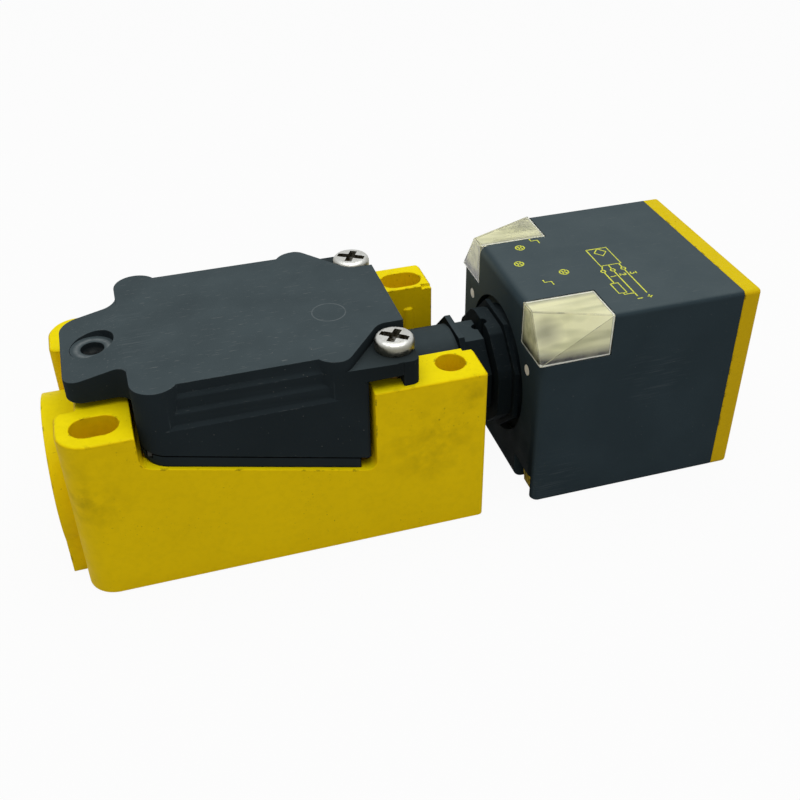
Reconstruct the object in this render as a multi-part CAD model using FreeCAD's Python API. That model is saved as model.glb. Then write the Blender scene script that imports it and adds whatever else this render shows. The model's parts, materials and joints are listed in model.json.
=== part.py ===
import FreeCAD, Part
import math
import os

# Cuboid inductive proximity sensor with a plug-on sensing head and a screw-terminal base.
# Millimetres. The origin is the middle of the mounting hole pattern on the mounting face.
# +X points to the sensing face, -X to the cable entry, +Z away from the mounting face.
# The head is drawn pulled out of the base on its neck, ready to be turned.

V = FreeCAD.Vector

# Mounting base
hole_pitch_x = 60.0
hole_pitch_y = 30.0
hole_d = 5.3
slot_length = 7.9
base_width = 40.4
base_height = 32.4
cable_end_reach = 6.3
head_end_reach = 5.2
cable_end_corner = 5.0
head_end_corner = 0.9
base_edge_chamfer = 0.5
side_wall = 3.0
floor_thickness = 4.0
ear_length = 12.2
ear_inner_y = 9.6
ear_setback = 3.4
ear_corner = 2.6
ear_root = 0.6
prong_length = 20.1
prong_step_length = 2.0
prong_step_width = 0.8
prong_step_depth = 0.7
cross_wall = 4.0
cross_wall_rim = 2.5
prong_rib_r = 1.2
prong_rib_rise = 0.6
prong_rib_reach = 4.8
prong_rib_height = 28.4
prong_rib_tip = 0.5
notch_high_corner = 2.5
notch_low_corner = 1.5
split_depth = 11.3
split_angle = 14.3

# Cable entry, drilled for an M20 x 1.5 thread
entry_core_d = 18.38
entry_height = 13.6
entry_boss_r = 14.0
entry_boss_reach = 2.6
entry_foot_half = 12.8
entry_foot_lift = 0.4
entry_chamfer = 0.9

# Terminal plate, seal and terminals
plate_thickness = 2.2
plate_short = 2.6
plate_window_y = 7.0
plate_window_length = 4.6
seal_width = 1.2
seal_depth = 0.8
seal_margin = 0.9
plate_screw_head_r = 2.5
plate_screw_head_h = 1.5
plate_screw_r = 1.25
plate_screw_length = 9.0
plate_screw_margin = 0.2
plate_screw_in = 3.6
plate_screw_out = 6.4
plate_boss_r = 2.9
pole_count = 4
pole_pitch = 6.0
block_length = 11.5
block_height = 8.6
block_end_wall = 1.4
block_from_window = 1.2
pole_wall = 0.8
clamp_length = 8.6
clamp_height = 6.2
clamp_wire_r = 1.5
clamp_wire_height = 2.1
terminal_screw_r = 1.5
terminal_screw_head_r = 2.0
terminal_screw_head_h = 1.4
terminal_screw_length = 4.2

# Terminal cover
cover_rise = 7.1
cover_inset = 0.7
cover_wall = 2.6
cover_roof = 2.1
cover_gap = 0.6
bulge_r = 3.9
bulge_from_prong = 5.25
cover_end_corner = 1.0
cover_plate_reach = 8.0
cover_lug_width = 9.3
lug_reach = 8.2
lug_corner = 3.9
pocket_depth = 2.3
lug_undercut = 2.15
lug_pad_length = 2.9
pocket_slope_start = 4.1
pocket_angle = 39.0
pocket_round = 3.0
bulge_round = 3.0
grip_depth = 1.8
grip_steps = 3
grip_riser = 1.85
grip_slope = 0.7
tab_length = 9.6
tab_half = 10.0
tab_drop = 2.2
tab_lift = 1.2
tab_corner = 3.0
tab_root_round = 2.4
tab_bore_d = 7.5
tab_bore_depth = 0.9
tab_hole_d = 3.9
tab_screw_from_ear = 4.3
cover_screw_x = 5.1
cover_screw_edge = 5.0
cover_screw_r = 1.5
cover_screw_length = 12.0
cover_screw_head_r = 3.4
cover_screw_head_h = 2.3
cover_screw_chamfer = 0.5
insert_r = 2.3
insert_length = 7.2

# Neck that slides in the base
neck_axis_height = 19.7
neck_notch_r = 0.9
neck_notch_depth = 2.2
neck_r = 9.1
neck_bore_r = 5.9
neck_tail = 1.5
neck_flange_flats = 19.8
neck_flange_length = 1.2
neck_block_flats = 16.8
neck_block_length = 4.1
neck_key_half = 1.5
neck_key_height = 1.1
o_ring_section = 1.9
o_ring_from_wall = 6.5
o_ring_stretch = 0.1
retainer_r = 10.4
retainer_thickness = 0.9
retainer_groove = 0.8

# Collar and stem of the head
collar_flats = 21.2
collar_turning_r = 11.1
collar_length = 2.75
collar_hub_r = 10.4
spacer_flats = 23.2
spacer_thickness = 0.9
spacer_boss_r = 11.4
dish_r = 13.2
dish_depth = 1.6
stem_bore_r = 4.2
stem_tail = 1.9
stem_clip_r = 7.4
stem_clip_thickness = 0.8
stem_clip_groove = 0.7
spigot_r = 7.4
collar_screw_circle_r = 9.0
collar_screw_count = 4
collar_screw_r = 1.0
collar_screw_head_r = 1.7
collar_screw_head_h = 1.3
collar_screw_floor = 0.9
lead_r = 0.9
lead_count = 4
lead_reach = 3.2
ferrule_r = 0.65
ferrule_length = 4.0

# Sensing head
head_width = 39.4
head_height = 39.4
head_length = 38.5
head_wall = 2.5
head_rear_wall = 5.6
head_edge_round = 0.9
head_rear_round = 1.9
lens_length = 13.4
lens_width = 8.8
lens_height = 8.3
lens_wall = 1.6
lens_facet_inset = 3.4
lens_facet_margin = 0.3
lens_facet_spread = 2.5
notch_inner_y = 11.5
notch_outer_y = 18.7
notch_height = 5.8
notch_depth = 3.2
guide_height = 2.2
guide_width = 3.0
plug_r = 1.0
plug_length = 2.0
plug_y = 14.3
plug_drop = 12.2
cap_thickness = 3.5
cap_edge_round = 0.85
cap_spigot = 2.0
cap_wall = 1.6
core_length = 10.0
core_post_r = 6.5
core_bore_r = 2.5
core_rim = 1.8
core_groove_depth = 6.4
former_wall = 0.7
shield_thickness = 0.9
shield_to_wall = 1.2
board_thickness = 1.6
board_from_lens = 0.5
resin_from_board = 2.6
lamp_width = 3.0
lamp_height = 2.6
lamp_thickness = 1.8
lamp_inset = 5.0
chip_width = 7.0
chip_height = 1.6
part_width = 2.4
part_height = 1.2
part_rows = 11.2
part_columns = 5

# How far a cut runs past the face it opens
past = 1.0

# Clearances
slide_gap = 0.3
seat_gap = 0.1
turn_gap = 0.4
screw_gap = 0.05
home_gap = 0.25
collar_side_gap = 0.8
collar_floor_gap = 0.2

# The largest share of a side that a rounded corner may take
corner_share = 0.48

# Places worked out from the sizes above
half_width = base_width / 2
hole_x = hole_pitch_x / 2
hole_y = hole_pitch_y / 2
base_left = -hole_x - cable_end_reach
base_right = hole_x + head_end_reach
notch_left = base_left + ear_length
notch_right = base_right - prong_length
cross_right = notch_right + cross_wall
chamber_left = notch_left + cover_gap
split_height = base_height - split_depth
cover_top = base_height + cover_rise
lug_floor = cover_top - pocket_depth
lug_under = base_height + lug_undercut
tab_under = base_height + tab_lift
prong_inner_y = collar_flats / 2 + collar_side_gap
prong_slot_floor = neck_axis_height - collar_turning_r - collar_floor_gap
chamber_half = half_width - side_wall
cover_half = half_width - cover_inset
cover_left = notch_left + cover_gap
cover_right = notch_right - cover_gap
cavity_half = cover_half - grip_depth - cover_wall / 2
cover_neck_half = cover_half - cover_lug_width
cover_screw_y = cover_half - cover_screw_edge
plate_screw_y = cavity_half - plate_screw_head_r - plate_screw_margin
cavity_left = cover_left + cover_wall
cavity_right = cover_right - cover_wall / 2
plate_right = notch_right - plate_short
split_x = (notch_left + notch_right) / 2
screw_x = notch_right + cover_screw_x
tab_screw_x = notch_left - tab_screw_from_ear
neck_hole_r = neck_r + slide_gap
cross_wall_height = neck_axis_height + neck_hole_r + cross_wall_rim
neck_start = notch_right - neck_tail
neck_flange_x = base_right + seat_gap
neck_block_x = neck_flange_x + neck_flange_length
neck_end = neck_block_x + neck_block_length
retainer_x = notch_right - slide_gap / 2 - retainer_thickness
collar_x = neck_end + turn_gap
spacer_x = collar_x + collar_length
pull_travel = spacer_x - base_right - home_gap
head_rear = spacer_x + spacer_thickness + screw_gap
dish_floor = head_rear + dish_depth
stem_r = neck_bore_r - slide_gap
stem_start = neck_start - stem_tail
clip_x = neck_start - turn_gap - stem_clip_thickness
pocket_x = head_rear + head_rear_wall
head_front = head_rear + head_length
head_low = neck_axis_height - head_height / 2
head_high = neck_axis_height + head_height / 2
head_half = head_width / 2
shield_r = min(head_width, head_height) / 2 - head_wall - shield_to_wall
core_r = shield_r - shield_thickness - seat_gap
board_x = head_rear + lens_length + board_from_lens
core_x = head_front - cap_spigot - seat_gap - core_length
deck_cut_x = stem_start - pull_travel - lead_reach - ferrule_length - slide_gap
deck_cut_half = retainer_r + 2 * slide_gap


def split(x):
    """Height of the slanted edge of the base's side walls at a place along X."""
    return split_height - math.tan(math.radians(split_angle)) * (x - split_x)


def point(plane, u, v, w=0.0):
    """A point from the two coordinates of a plane and the distance from that plane."""
    places = {"xy": V(u, v, w), "xz": V(u, w, v), "yz": V(w, u, v)}
    return places[plane]


def outline(plane, at, corners):
    """A flat face through (u, v, radius) corners, each rounded by its own radius."""
    stops = []
    for i, (u, v, radius) in enumerate(corners):
        here = V(u, v, 0)
        back = V(*corners[i - 1][:2], 0) - here
        ahead = V(*corners[(i + 1) % len(corners)][:2], 0) - here
        half = back.getAngle(ahead) / 2
        back.normalize()
        ahead.normalize()
        if radius == 0:
            stops.append((here, None, here))
            continue
        side = min(V(*corners[i - 1][:2], 0).distanceToPoint(here),
                   V(*corners[(i + 1) % len(corners)][:2], 0).distanceToPoint(here))
        reach = min(radius / math.tan(half), side * corner_share)
        radius = reach * math.tan(half)
        middle = (back + ahead).normalize() * (radius / math.sin(half) - radius)
        stops.append((here + back * reach, here + middle, here + ahead * reach))
    edges = []
    for i, (start, middle, end) in enumerate(stops):
        last = stops[i - 1][2]
        a, b, c = (point(plane, p.x, p.y, at) if p else None for p in (start, middle, end))
        joint = point(plane, last.x, last.y, at)
        if joint.distanceToPoint(a) > 1e-6:
            edges.append(Part.LineSegment(joint, a).toShape())
        if b:
            edges.append(Part.Arc(a, b, c).toShape())
    return Part.Face(Part.Wire(edges))


def prism(plane, start, end, corners):
    """A straight block: a rounded outline carried from one height above its plane to another."""
    return outline(plane, start, corners).extrude(point(plane, 0, 0, end - start))


def rectangle(u0, u1, v0, v1, radius=0):
    """The four corners of a rectangle, with one radius or one for each corner in turn."""
    radii = radius if isinstance(radius, tuple) else (radius,) * 4
    places = ((u0, v0), (u1, v0), (u1, v1), (u0, v1))
    return [(u, v, r) for (u, v), r in zip(places, radii)]


def block(x0, x1, y0, y1, z0, z1):
    """A plain block between two corners."""
    return Part.makeBox(x1 - x0, y1 - y0, z1 - z0, V(x0, y0, z0))


def post(x, y, z0, z1, radius):
    """An upright round bar."""
    return Part.makeCylinder(radius, z1 - z0, V(x, y, z0))


def bar(x0, x1, radius, y=0.0, z=neck_axis_height):
    """A round bar along X, on the neck axis unless another place is given."""
    return Part.makeCylinder(radius, x1 - x0, V(x0, y, z), V(1, 0, 0))


def ring(x0, x1, outer, inner):
    """A flat ring about the neck axis."""
    return bar(x0, x1, outer).cut(bar(x0, x1, inner))


def eight_sided(u, v, flats):
    """The corners of a regular octagon about a point, flat side up, from its width across flats."""
    corner = flats / 2 / math.cos(math.radians(22.5))
    turns = [math.radians(22.5 + 45 * k) for k in range(8)]
    return [(u + corner * math.cos(a), v + corner * math.sin(a)) for a in turns]


def octagon(x0, x1, flats):
    """An eight-sided bar about the neck axis, flat side up, from its width across flats."""
    corners = [(y, z, 0) for y, z in eight_sided(0, neck_axis_height, flats)]
    return prism("yz", x0, x1, corners)


def both_sides(shape):
    """A shape and its mirror image across the middle plane."""
    return [shape, shape.mirror(V(0, 0, 0), V(0, 1, 0))]


def joined(shapes):
    """One solid from several that touch or overlap."""
    first, *rest = shapes
    return first.fuse(rest).removeSplitter()


def edges_along(shape, test):
    """The edges whose middle passes a test."""
    return [e for e in shape.Edges if test(e.CenterOfMass)]


def near(a, b):
    """True where two lengths agree within a hundredth."""
    return abs(a - b) < 0.01


def screw(place, direction, head_r, head_h, shank_r, length, chamfer=0.0):
    """A round-headed screw: the place is under its head and the direction is up through the head."""
    shank = Part.makeCylinder(shank_r, length, V(0, 0, -length))
    head = Part.makeCylinder(head_r, head_h - chamfer)
    if chamfer > 0:
        head = head.fuse(Part.makeCone(head_r, head_r - chamfer, chamfer, V(0, 0, head_h - chamfer)))
    body = joined([shank, head])
    body.Placement = FreeCAD.Placement(place, FreeCAD.Rotation(V(0, 0, 1), direction))
    return body


def on_split(shape):
    """A piece drawn flat about the origin, laid on the slanted terminal plate."""
    turn = FreeCAD.Rotation(V(0, 1, 0), split_angle)
    rest = V(block_x, 0, split(block_x) + plate_thickness)
    shape.Placement = FreeCAD.Placement(rest, turn).multiply(shape.Placement)
    return shape


plate_left = cover_left
window_left = chamber_left + side_wall / 2
window_right = window_left + plate_window_length
block_x = window_right + block_from_window + block_length / 2
plate_screw_places = [window_left + plate_screw_in, plate_right - plate_screw_out]


def mounting_hole(x, y, is_slot):
    """A through hole of the mounting pattern, round or long."""
    low, high = -past, base_height + past
    if not is_slot:
        return post(x, y, low, high, hole_d / 2)
    shift = (slot_length - hole_d) / 2
    ends = [post(x + s, y, low, high, hole_d / 2) for s in (-shift, shift)]
    middle = block(x - shift, x + shift, y - hole_d / 2, y + hole_d / 2, low, high)
    return joined([middle] + ends)


def wall_window(shift):
    """The space above the slanted edge of the side walls, also moved along to trim what sits in it."""
    left, right = notch_left + shift, notch_right + shift
    wide = half_width + past
    over = base_height + past
    return prism("xz", -wide, wide, [
        (left, split(left), notch_high_corner), (right, split(right), notch_low_corner),
        (right, over, 0), (left, over, 0),
    ])


def entry_boss():
    """The round seat of the cable gland, on a foot that runs down to the mounting face."""
    outer_x = base_left - entry_boss_reach
    inner_x = base_left + ear_setback + past
    disc = bar(outer_x, inner_x, entry_boss_r, z=entry_height)
    foot = block(outer_x, inner_x, -entry_foot_half, entry_foot_half, entry_foot_lift, entry_height)
    above = block(outer_x, inner_x, -half_width, half_width, entry_foot_lift, base_height)
    return disc.fuse(foot).common(above).removeSplitter()


def mounting_base():
    """The moulded base: two ears, a terminal trough with slanted walls, and two prongs for the head."""
    root_x = base_left + ear_setback
    body = prism("xy", 0, base_height, [
        (base_left, -half_width, cable_end_corner), (base_right, -half_width, head_end_corner),
        (base_right, half_width, head_end_corner), (base_left, half_width, cable_end_corner),
        (base_left, ear_inner_y, ear_corner), (root_x, ear_inner_y, ear_root),
        (root_x, -ear_inner_y, ear_root), (base_left, -ear_inner_y, ear_corner),
    ])
    rims = edges_along(body, lambda m: near(m.z, 0) or near(m.z, base_height))
    body = body.makeChamfer(base_edge_chamfer, rims)
    over = base_height + past
    wide = half_width + past

    # The gland seat stands proud between the ears
    body = body.fuse(entry_boss()).removeSplitter()

    # Terminal trough, and the slanted window through both side walls
    trough = block(chamber_left, notch_right, -chamber_half, chamber_half, floor_thickness, over)
    body = body.cut(trough).cut(wall_window(0))

    # Room for the collar between the prongs, and the lower cross wall
    prong_end = base_right + past
    body = body.cut(block(cross_right, prong_end, -prong_inner_y, prong_inner_y, prong_slot_floor, over))
    body = body.cut(block(notch_right - past, cross_right + past, -prong_inner_y, prong_inner_y,
                          min(cross_wall_height, base_height), over))
    step_y = prong_inner_y + prong_step_width
    body = body.cut(block(base_right - prong_step_length, prong_end, -step_y, step_y,
                          base_height - prong_step_depth, over))

    # Bosses under the screws of the terminal plate, cut to the slant
    under_plate = prism("xz", -wide, wide, [
        (chamber_left, floor_thickness - past, 0),
        (notch_right, floor_thickness - past, 0),
        (notch_right, split(notch_right), 0),
        (chamber_left, split(chamber_left), 0),
    ])
    for x in plate_screw_places:
        boss = post(x, plate_screw_y, floor_thickness - past, base_height, plate_boss_r)
        boss = boss.fuse(block(x - plate_boss_r, x + plate_boss_r, plate_screw_y, chamber_half + past,
                               floor_thickness - past, base_height)).common(under_plate)
        hole = post(x, plate_screw_y, floor_thickness, base_height, plate_screw_r + screw_gap)
        for one, drill in zip(both_sides(boss), both_sides(hole)):
            body = body.fuse(one).cut(drill)

    # Latch ribs on the inner faces of the prongs, with tapered tops
    rib_x = base_right - prong_rib_reach
    rib_y = prong_inner_y + prong_rib_r - prong_rib_rise
    rib_shoulder = prong_rib_height - prong_rib_r + prong_rib_tip
    rib = post(rib_x, rib_y, prong_slot_floor - past, rib_shoulder, prong_rib_r)
    tip = Part.makeCone(prong_rib_r, prong_rib_tip, prong_rib_height - rib_shoulder,
                        V(rib_x, rib_y, rib_shoulder))
    body = body.fuse(both_sides(rib.fuse(tip)))

    # Neck hole with its keyway, cable entry, mounting holes and insert holes
    body = body.cut(bar(notch_right - past, cross_right + past, neck_hole_r))
    key_half = neck_key_half + slide_gap
    key_low = neck_axis_height - neck_r - neck_key_height - slide_gap
    body = body.cut(block(notch_right - past, cross_right + past, -key_half, key_half,
                          key_low, neck_axis_height))
    entry_mouth = base_left - entry_boss_reach
    body = body.cut(bar(entry_mouth - past, chamber_left + past, entry_core_d / 2, z=entry_height))
    body = body.cut(Part.makeCone(entry_core_d / 2 + entry_chamfer, entry_core_d / 2, entry_chamfer,
                                  V(entry_mouth, 0, entry_height), V(1, 0, 0)))
    for sx in (-1, 1):
        for sy in (-1, 1):
            body = body.cut(mounting_hole(sx * hole_x, sy * hole_y, sx == sy))
    pad = post(tab_screw_x, 0, base_height - past, tab_under, tab_bore_d / 2)
    body = body.fuse(pad)
    insert_low = base_height - insert_length - seat_gap
    for x, y in insert_places():
        body = body.cut(post(x, y, insert_low, tab_under + past, insert_r + screw_gap))
    return body.removeSplitter()


def insert_places():
    """Where the cover screws go: two on the prongs and one between the ears."""
    return [(screw_x, -cover_screw_y), (screw_x, cover_screw_y), (tab_screw_x, 0)]


def threaded_inserts():
    """Brass inserts for the cover screws, pressed in flush."""
    inserts = []
    for x, y in insert_places():
        sleeve = post(x, y, base_height - insert_length, base_height, insert_r)
        inserts.append(sleeve.cut(post(x, y, 0, base_height + past, cover_screw_r + screw_gap)))
    return Part.makeCompound(inserts)


def seal_path(inset, depth):
    """A U-shaped strip let into the rim of the terminal plate."""
    outer = cover_half - seal_margin - inset
    inner = cover_half - seal_margin - seal_width + inset
    left = plate_left + seal_margin + inset
    plan = prism("xy", 0, 2 * base_height, rectangle(left, plate_right - seal_margin - inset, -outer, outer))
    hole = rectangle(left + seal_width - 2 * inset, plate_right + past, -inner, inner)
    plan = plan.cut(prism("xy", -past, 2 * base_height + past, hole))
    top_left = split(plate_left) + plate_thickness
    top_right = split(plate_right) + plate_thickness
    layer = prism("xz", -half_width, half_width, [
        (plate_left, top_left - depth, 0), (plate_right, top_right - depth, 0),
        (plate_right, top_right, 0), (plate_left, top_left, 0),
    ])
    return plan.common(layer)


def terminal_plate():
    """The slanted plate that carries the terminals; its edge shows below the cover."""
    left_z, right_z = split(plate_left), split(plate_right)
    plate = prism("xz", -cover_half, cover_half, [
        (plate_left, left_z, 0), (plate_right, right_z, 0),
        (plate_right, right_z + plate_thickness, 0), (plate_left, left_z + plate_thickness, 0),
    ]).common(wall_window(cover_gap))
    radii = (bulge_r, 0, 0, bulge_r)
    plan = rectangle(plate_left, plate_right, -cover_half, cover_half, radii)
    plate = plate.common(prism("xy", 0, base_height, plan))
    plate = plate.cut(block(window_left, window_right, -plate_window_y, plate_window_y, 0, base_height))
    plate = plate.cut(block(deck_cut_x, plate_right + past, -deck_cut_half, deck_cut_half, 0, base_height))
    plate = plate.cut(seal_path(0, seal_depth))
    for x in plate_screw_places:
        head_z = split(x) + plate_thickness / 2
        hole = post(x, plate_screw_y, 0, base_height, plate_screw_r + screw_gap)
        sink = post(x, plate_screw_y, head_z, base_height, plate_screw_head_r + seat_gap)
        plate = plate.cut(both_sides(hole)).cut(both_sides(sink))
    return plate


def plate_screws():
    """Four screws that hold the terminal plate on its bosses."""
    screws = []
    for x in plate_screw_places:
        place = V(x, plate_screw_y, split(x) + plate_thickness / 2)
        one = screw(place, V(0, 0, 1), plate_screw_head_r, plate_screw_head_h, plate_screw_r,
                    plate_screw_length)
        screws.extend(both_sides(one))
    return Part.makeCompound(screws)


def cover_seal():
    """The soft seal that lies in the groove of the terminal plate."""
    return seal_path(screw_gap, seal_depth - screw_gap)


def pole_places():
    """Places of the terminals across the block."""
    return [(k - (pole_count - 1) / 2) * pole_pitch for k in range(pole_count)]


def terminal_block():
    """A moulded strip with one pocket, wire hole and screw well for each terminal."""
    half_y = pole_count * pole_pitch / 2 + block_end_wall - pole_wall / 2
    body = block(-block_length / 2, block_length / 2, -half_y, half_y, 0, block_height)
    floor = (block_length - clamp_length) / 2
    well_top = block_height + past
    for y in pole_places():
        half = (pole_pitch - pole_wall) / 2
        body = body.cut(block(-clamp_length / 2, clamp_length / 2, y - half, y + half, floor, well_top))
        body = body.cut(bar(-block_length, block_length, clamp_wire_r, y, floor + clamp_wire_height))
    return on_split(body)


def terminal_clamps():
    """The metal clamp bodies in the pockets of the terminal block."""
    clamps = []
    floor = (block_length - clamp_length) / 2
    for y in pole_places():
        half = (pole_pitch - pole_wall) / 2 - seat_gap
        long_half = clamp_length / 2 - seat_gap
        body = block(-long_half, long_half, y - half, y + half, floor, floor + clamp_height)
        wire_z = floor + clamp_wire_height
        body = body.cut(bar(-clamp_length, clamp_length, clamp_wire_r, y, wire_z))
        body = body.cut(post(0, y, wire_z, floor + clamp_height + past, terminal_screw_r + screw_gap))
        clamps.append(on_split(body))
    return Part.makeCompound(clamps)


def terminal_screws():
    """The clamp screws, one for each terminal."""
    screws = []
    floor = (block_length - clamp_length) / 2
    for y in pole_places():
        place = V(0, y, floor + clamp_height)
        one = screw(place, V(0, 0, 1), terminal_screw_head_r, terminal_screw_head_h, terminal_screw_r,
                    terminal_screw_length)
        screws.append(on_split(one))
    return Part.makeCompound(screws)


def bulge_places():
    """Places along X of the rounded columns at the ends of each finger grip."""
    return cover_left + bulge_r, notch_right - bulge_from_prong


def grip_cut():
    """Stepped finger grip in one long side of the cover: risers and slopes that lead outward and down."""
    start, end = bulge_places()
    step = grip_depth / grip_steps
    out = cover_half + past

    def plan(depth, z):
        y = cover_half - depth
        corners = [V(start, y, z), V(end, y, z), V(end, out, z), V(start, out, z)]
        return Part.makePolygon(corners + corners[:1])

    tool = []
    top = cover_top + past
    for k in range(grip_steps):
        depth = grip_depth - k * step
        low = cover_top - k * (grip_riser + grip_slope) - grip_riser
        tool.append(Part.Face(plan(depth, low)).extrude(V(0, 0, top - low)))
        tool.append(Part.makeLoft([plan(depth, low), plan(depth - step, low - grip_slope)], True, True))
        top = low - grip_slope
    return joined(tool)


def corner_pocket():
    """The sunk corner of the cover round one screw, open to the outside, seen from above."""
    tip_x = notch_right - pocket_slope_start
    tip_y = cover_half + seat_gap
    neck_x = tip_x + (tip_y - cover_neck_half) * math.tan(math.radians(pocket_angle))
    far_x = notch_right + lug_reach + past
    out = cover_half + past
    return prism("xy", lug_floor, cover_top + past, [
        (tip_x - bulge_round, out, 0),
        (tip_x - bulge_round, tip_y, 0),
        (tip_x, tip_y, bulge_round),
        (neck_x, cover_neck_half, pocket_round),
        (far_x, cover_neck_half, 0),
        (far_x, out, 0),
    ])


def cover_tab():
    """The sloping tab over the ears, with rounded corners and a soft root."""
    left = notch_left - tab_length
    side = prism("xz", -half_width, half_width, [
        (left, tab_under, 0), (cavity_left, tab_under, 0), (cavity_left, cover_top, 0),
        (cover_left, cover_top, 0), (left, cover_top - tab_drop, 0),
    ])
    spread = tab_half + 2 * tab_root_round
    plan = prism("xy", tab_under, cover_top, [
        (left, -tab_half, tab_corner), (cover_left, -tab_half, tab_root_round), (cover_left, -spread, 0),
        (cavity_left, -spread, 0), (cavity_left, spread, 0),
        (cover_left, spread, 0), (cover_left, tab_half, tab_root_round), (left, tab_half, tab_corner),
    ])
    return side.common(plan)


def terminal_cover():
    """The screwed-on cover: slanted skirt, stepped grips, two sunk screw lugs and a sloping tab."""
    radii = (bulge_r, cover_end_corner, cover_end_corner, bulge_r)
    skirt = prism("xy", 0, cover_top, rectangle(cover_left, cover_right, -cover_half, cover_half, radii))
    below = prism("xz", -half_width, half_width, [
        (cover_left - past, -past, 0), (cover_right + past, -past, 0),
        (cover_right + past, split(cover_right + past) + plate_thickness, 0),
        (cover_left - past, split(cover_left - past) + plate_thickness, 0),
    ])
    skirt = skirt.cut(below)
    columns = [skirt.common(post(x, cover_half - bulge_r, 0, cover_top, bulge_r)) for x in bulge_places()]
    columns = [c for column in columns for c in both_sides(column)]
    for grip in both_sides(grip_cut()):
        skirt = skirt.cut(grip)
    skirt = skirt.fuse(columns).removeSplitter()

    # Lugs on the prongs, with an undercut and a pad at their ends
    lug_end = notch_right + lug_reach
    radii = (0, lug_corner, lug_corner, 0)
    lugs = prism("xy", lug_under, cover_top, rectangle(cavity_right, lug_end, -cover_half, cover_half, radii))
    pads = prism("xy", base_height, cover_top, rectangle(lug_end - lug_pad_length, lug_end, -cover_half,
                                                        cover_half, radii))
    pads = pads.cut(block(0, lug_end, -prong_inner_y, prong_inner_y, 0, lug_under))
    body = joined([skirt, lugs, pads, cover_tab()])
    beyond = notch_right + cover_plate_reach
    over = cover_top + past
    body = body.cut(block(beyond, lug_end + past, -cover_neck_half, cover_neck_half, 0, over))
    body = body.cut(both_sides(corner_pocket()))

    # Inside: room for the terminals, and an arch over the neck
    roof = cover_top - cover_roof
    cavity = prism("xy", 0, roof, rectangle(cavity_left, cavity_right, -cavity_half, cavity_half,
                                            bulge_r - cover_wall / 2))
    arch_top = neck_axis_height + retainer_r + 2 * slide_gap
    arch = block(cavity_right - past, cover_right + past, -deck_cut_half, deck_cut_half, 0, arch_top)
    body = body.cut(cavity).cut(arch)

    # Screw holes
    for x, y in insert_places()[:2]:
        body = body.cut(post(x, y, 0, over, cover_screw_r + seat_gap))
    body = body.cut(post(tab_screw_x, 0, 0, over, tab_hole_d / 2))
    tab_z = cover_top - tab_drop * (cover_left - tab_screw_x) / (cover_left - notch_left + tab_length)
    body = body.cut(post(tab_screw_x, 0, tab_z - tab_bore_depth, over, tab_bore_d / 2))
    return body.removeSplitter()


def cover_screws():
    """Two pan-head screws in the sunk corners of the cover."""
    screws = []
    for x, y in insert_places()[:2]:
        screws.append(screw(V(x, y, lug_floor), V(0, 0, 1), cover_screw_head_r, cover_screw_head_h,
                            cover_screw_r, cover_screw_length, cover_screw_chamfer))
    return Part.makeCompound(screws)


def o_ring_x():
    """The seal ring's place on the neck, inside the neck hole when the head is pushed home."""
    return cross_right + o_ring_from_wall


def neck_spigot():
    """The sliding neck: a keyed tube with a seal groove, an eight-sided stop and an eight-sided block."""
    tube = bar(neck_start, neck_flange_x, neck_r)
    key_low = neck_axis_height - neck_r - neck_key_height
    groove_half = o_ring_section / 2 + seat_gap
    key_end = o_ring_x() - groove_half - slide_gap
    key = block(notch_right + neck_tail, key_end, -neck_key_half, neck_key_half, key_low, neck_axis_height)
    stop = octagon(neck_flange_x, neck_block_x, neck_flange_flats)
    grip = octagon(neck_block_x, neck_end, neck_block_flats)
    body = joined([tube, key, stop, grip])
    body = body.cut(bar(neck_start - past, neck_end + past, neck_bore_r))
    floor_r = neck_r + o_ring_stretch - o_ring_section - seat_gap
    body = body.cut(ring(o_ring_x() - groove_half, o_ring_x() + groove_half, neck_r + past, floor_r))
    clip = ring(retainer_x - screw_gap, retainer_x + retainer_thickness + screw_gap, neck_r + past,
                neck_r - retainer_groove)
    notch_top = neck_axis_height + neck_block_flats / 2
    notch = post(neck_end, neck_notch_r, notch_top - neck_notch_depth, notch_top + past, neck_notch_r)
    return body.cut(clip).cut(notch)


def neck_o_ring():
    """The rubber ring that seals the neck in its hole."""
    half = o_ring_section / 2
    outer = neck_axis_height + neck_r + o_ring_stretch
    face = outline("xz", 0, [(x, z, 0) for x, z in eight_sided(o_ring_x(), outer - half, o_ring_section)])
    return face.revolve(V(0, 0, neck_axis_height), V(1, 0, 0), 360)


def neck_retainer():
    """The spring ring that stops the neck from being pulled right out."""
    return ring(retainer_x, retainer_x + retainer_thickness, retainer_r, neck_r - retainer_groove + screw_gap)


def collar_screw_places():
    """Places of the collar screws round the neck axis, on the diagonals."""
    turns = [math.radians(45 + 360 * k / collar_screw_count) for k in range(collar_screw_count)]
    r = collar_screw_circle_r
    return [(r * math.cos(a), neck_axis_height + r * math.sin(a)) for a in turns]


def head_collar():
    """The turning collar: a long hollow stem, an eight-sided collar, and a hub and spigot in the head."""
    stem = bar(stem_start, collar_x + past, stem_r)
    collar = octagon(collar_x, spacer_x, collar_flats).common(bar(collar_x, spacer_x, collar_turning_r))
    hub = bar(spacer_x, dish_floor, collar_hub_r)
    spigot = bar(dish_floor, pocket_x, spigot_r - seat_gap)
    body = joined([stem, collar, hub, spigot])
    body = body.cut(bar(stem_start - past, pocket_x + past, stem_bore_r))
    body = body.cut(ring(clip_x - screw_gap, clip_x + stem_clip_thickness + screw_gap, stem_r + past,
                         stem_r - stem_clip_groove))
    notch_low = neck_axis_height + neck_block_flats / 2 - neck_notch_depth
    notch_high = neck_axis_height + collar_turning_r
    body = body.cut(post(collar_x, -neck_notch_r, notch_low, notch_high, neck_notch_r))
    for y, z in collar_screw_places():
        body = body.cut(bar(collar_x + collar_screw_floor, pocket_x, collar_screw_r + screw_gap, y, z))
    return body


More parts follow.
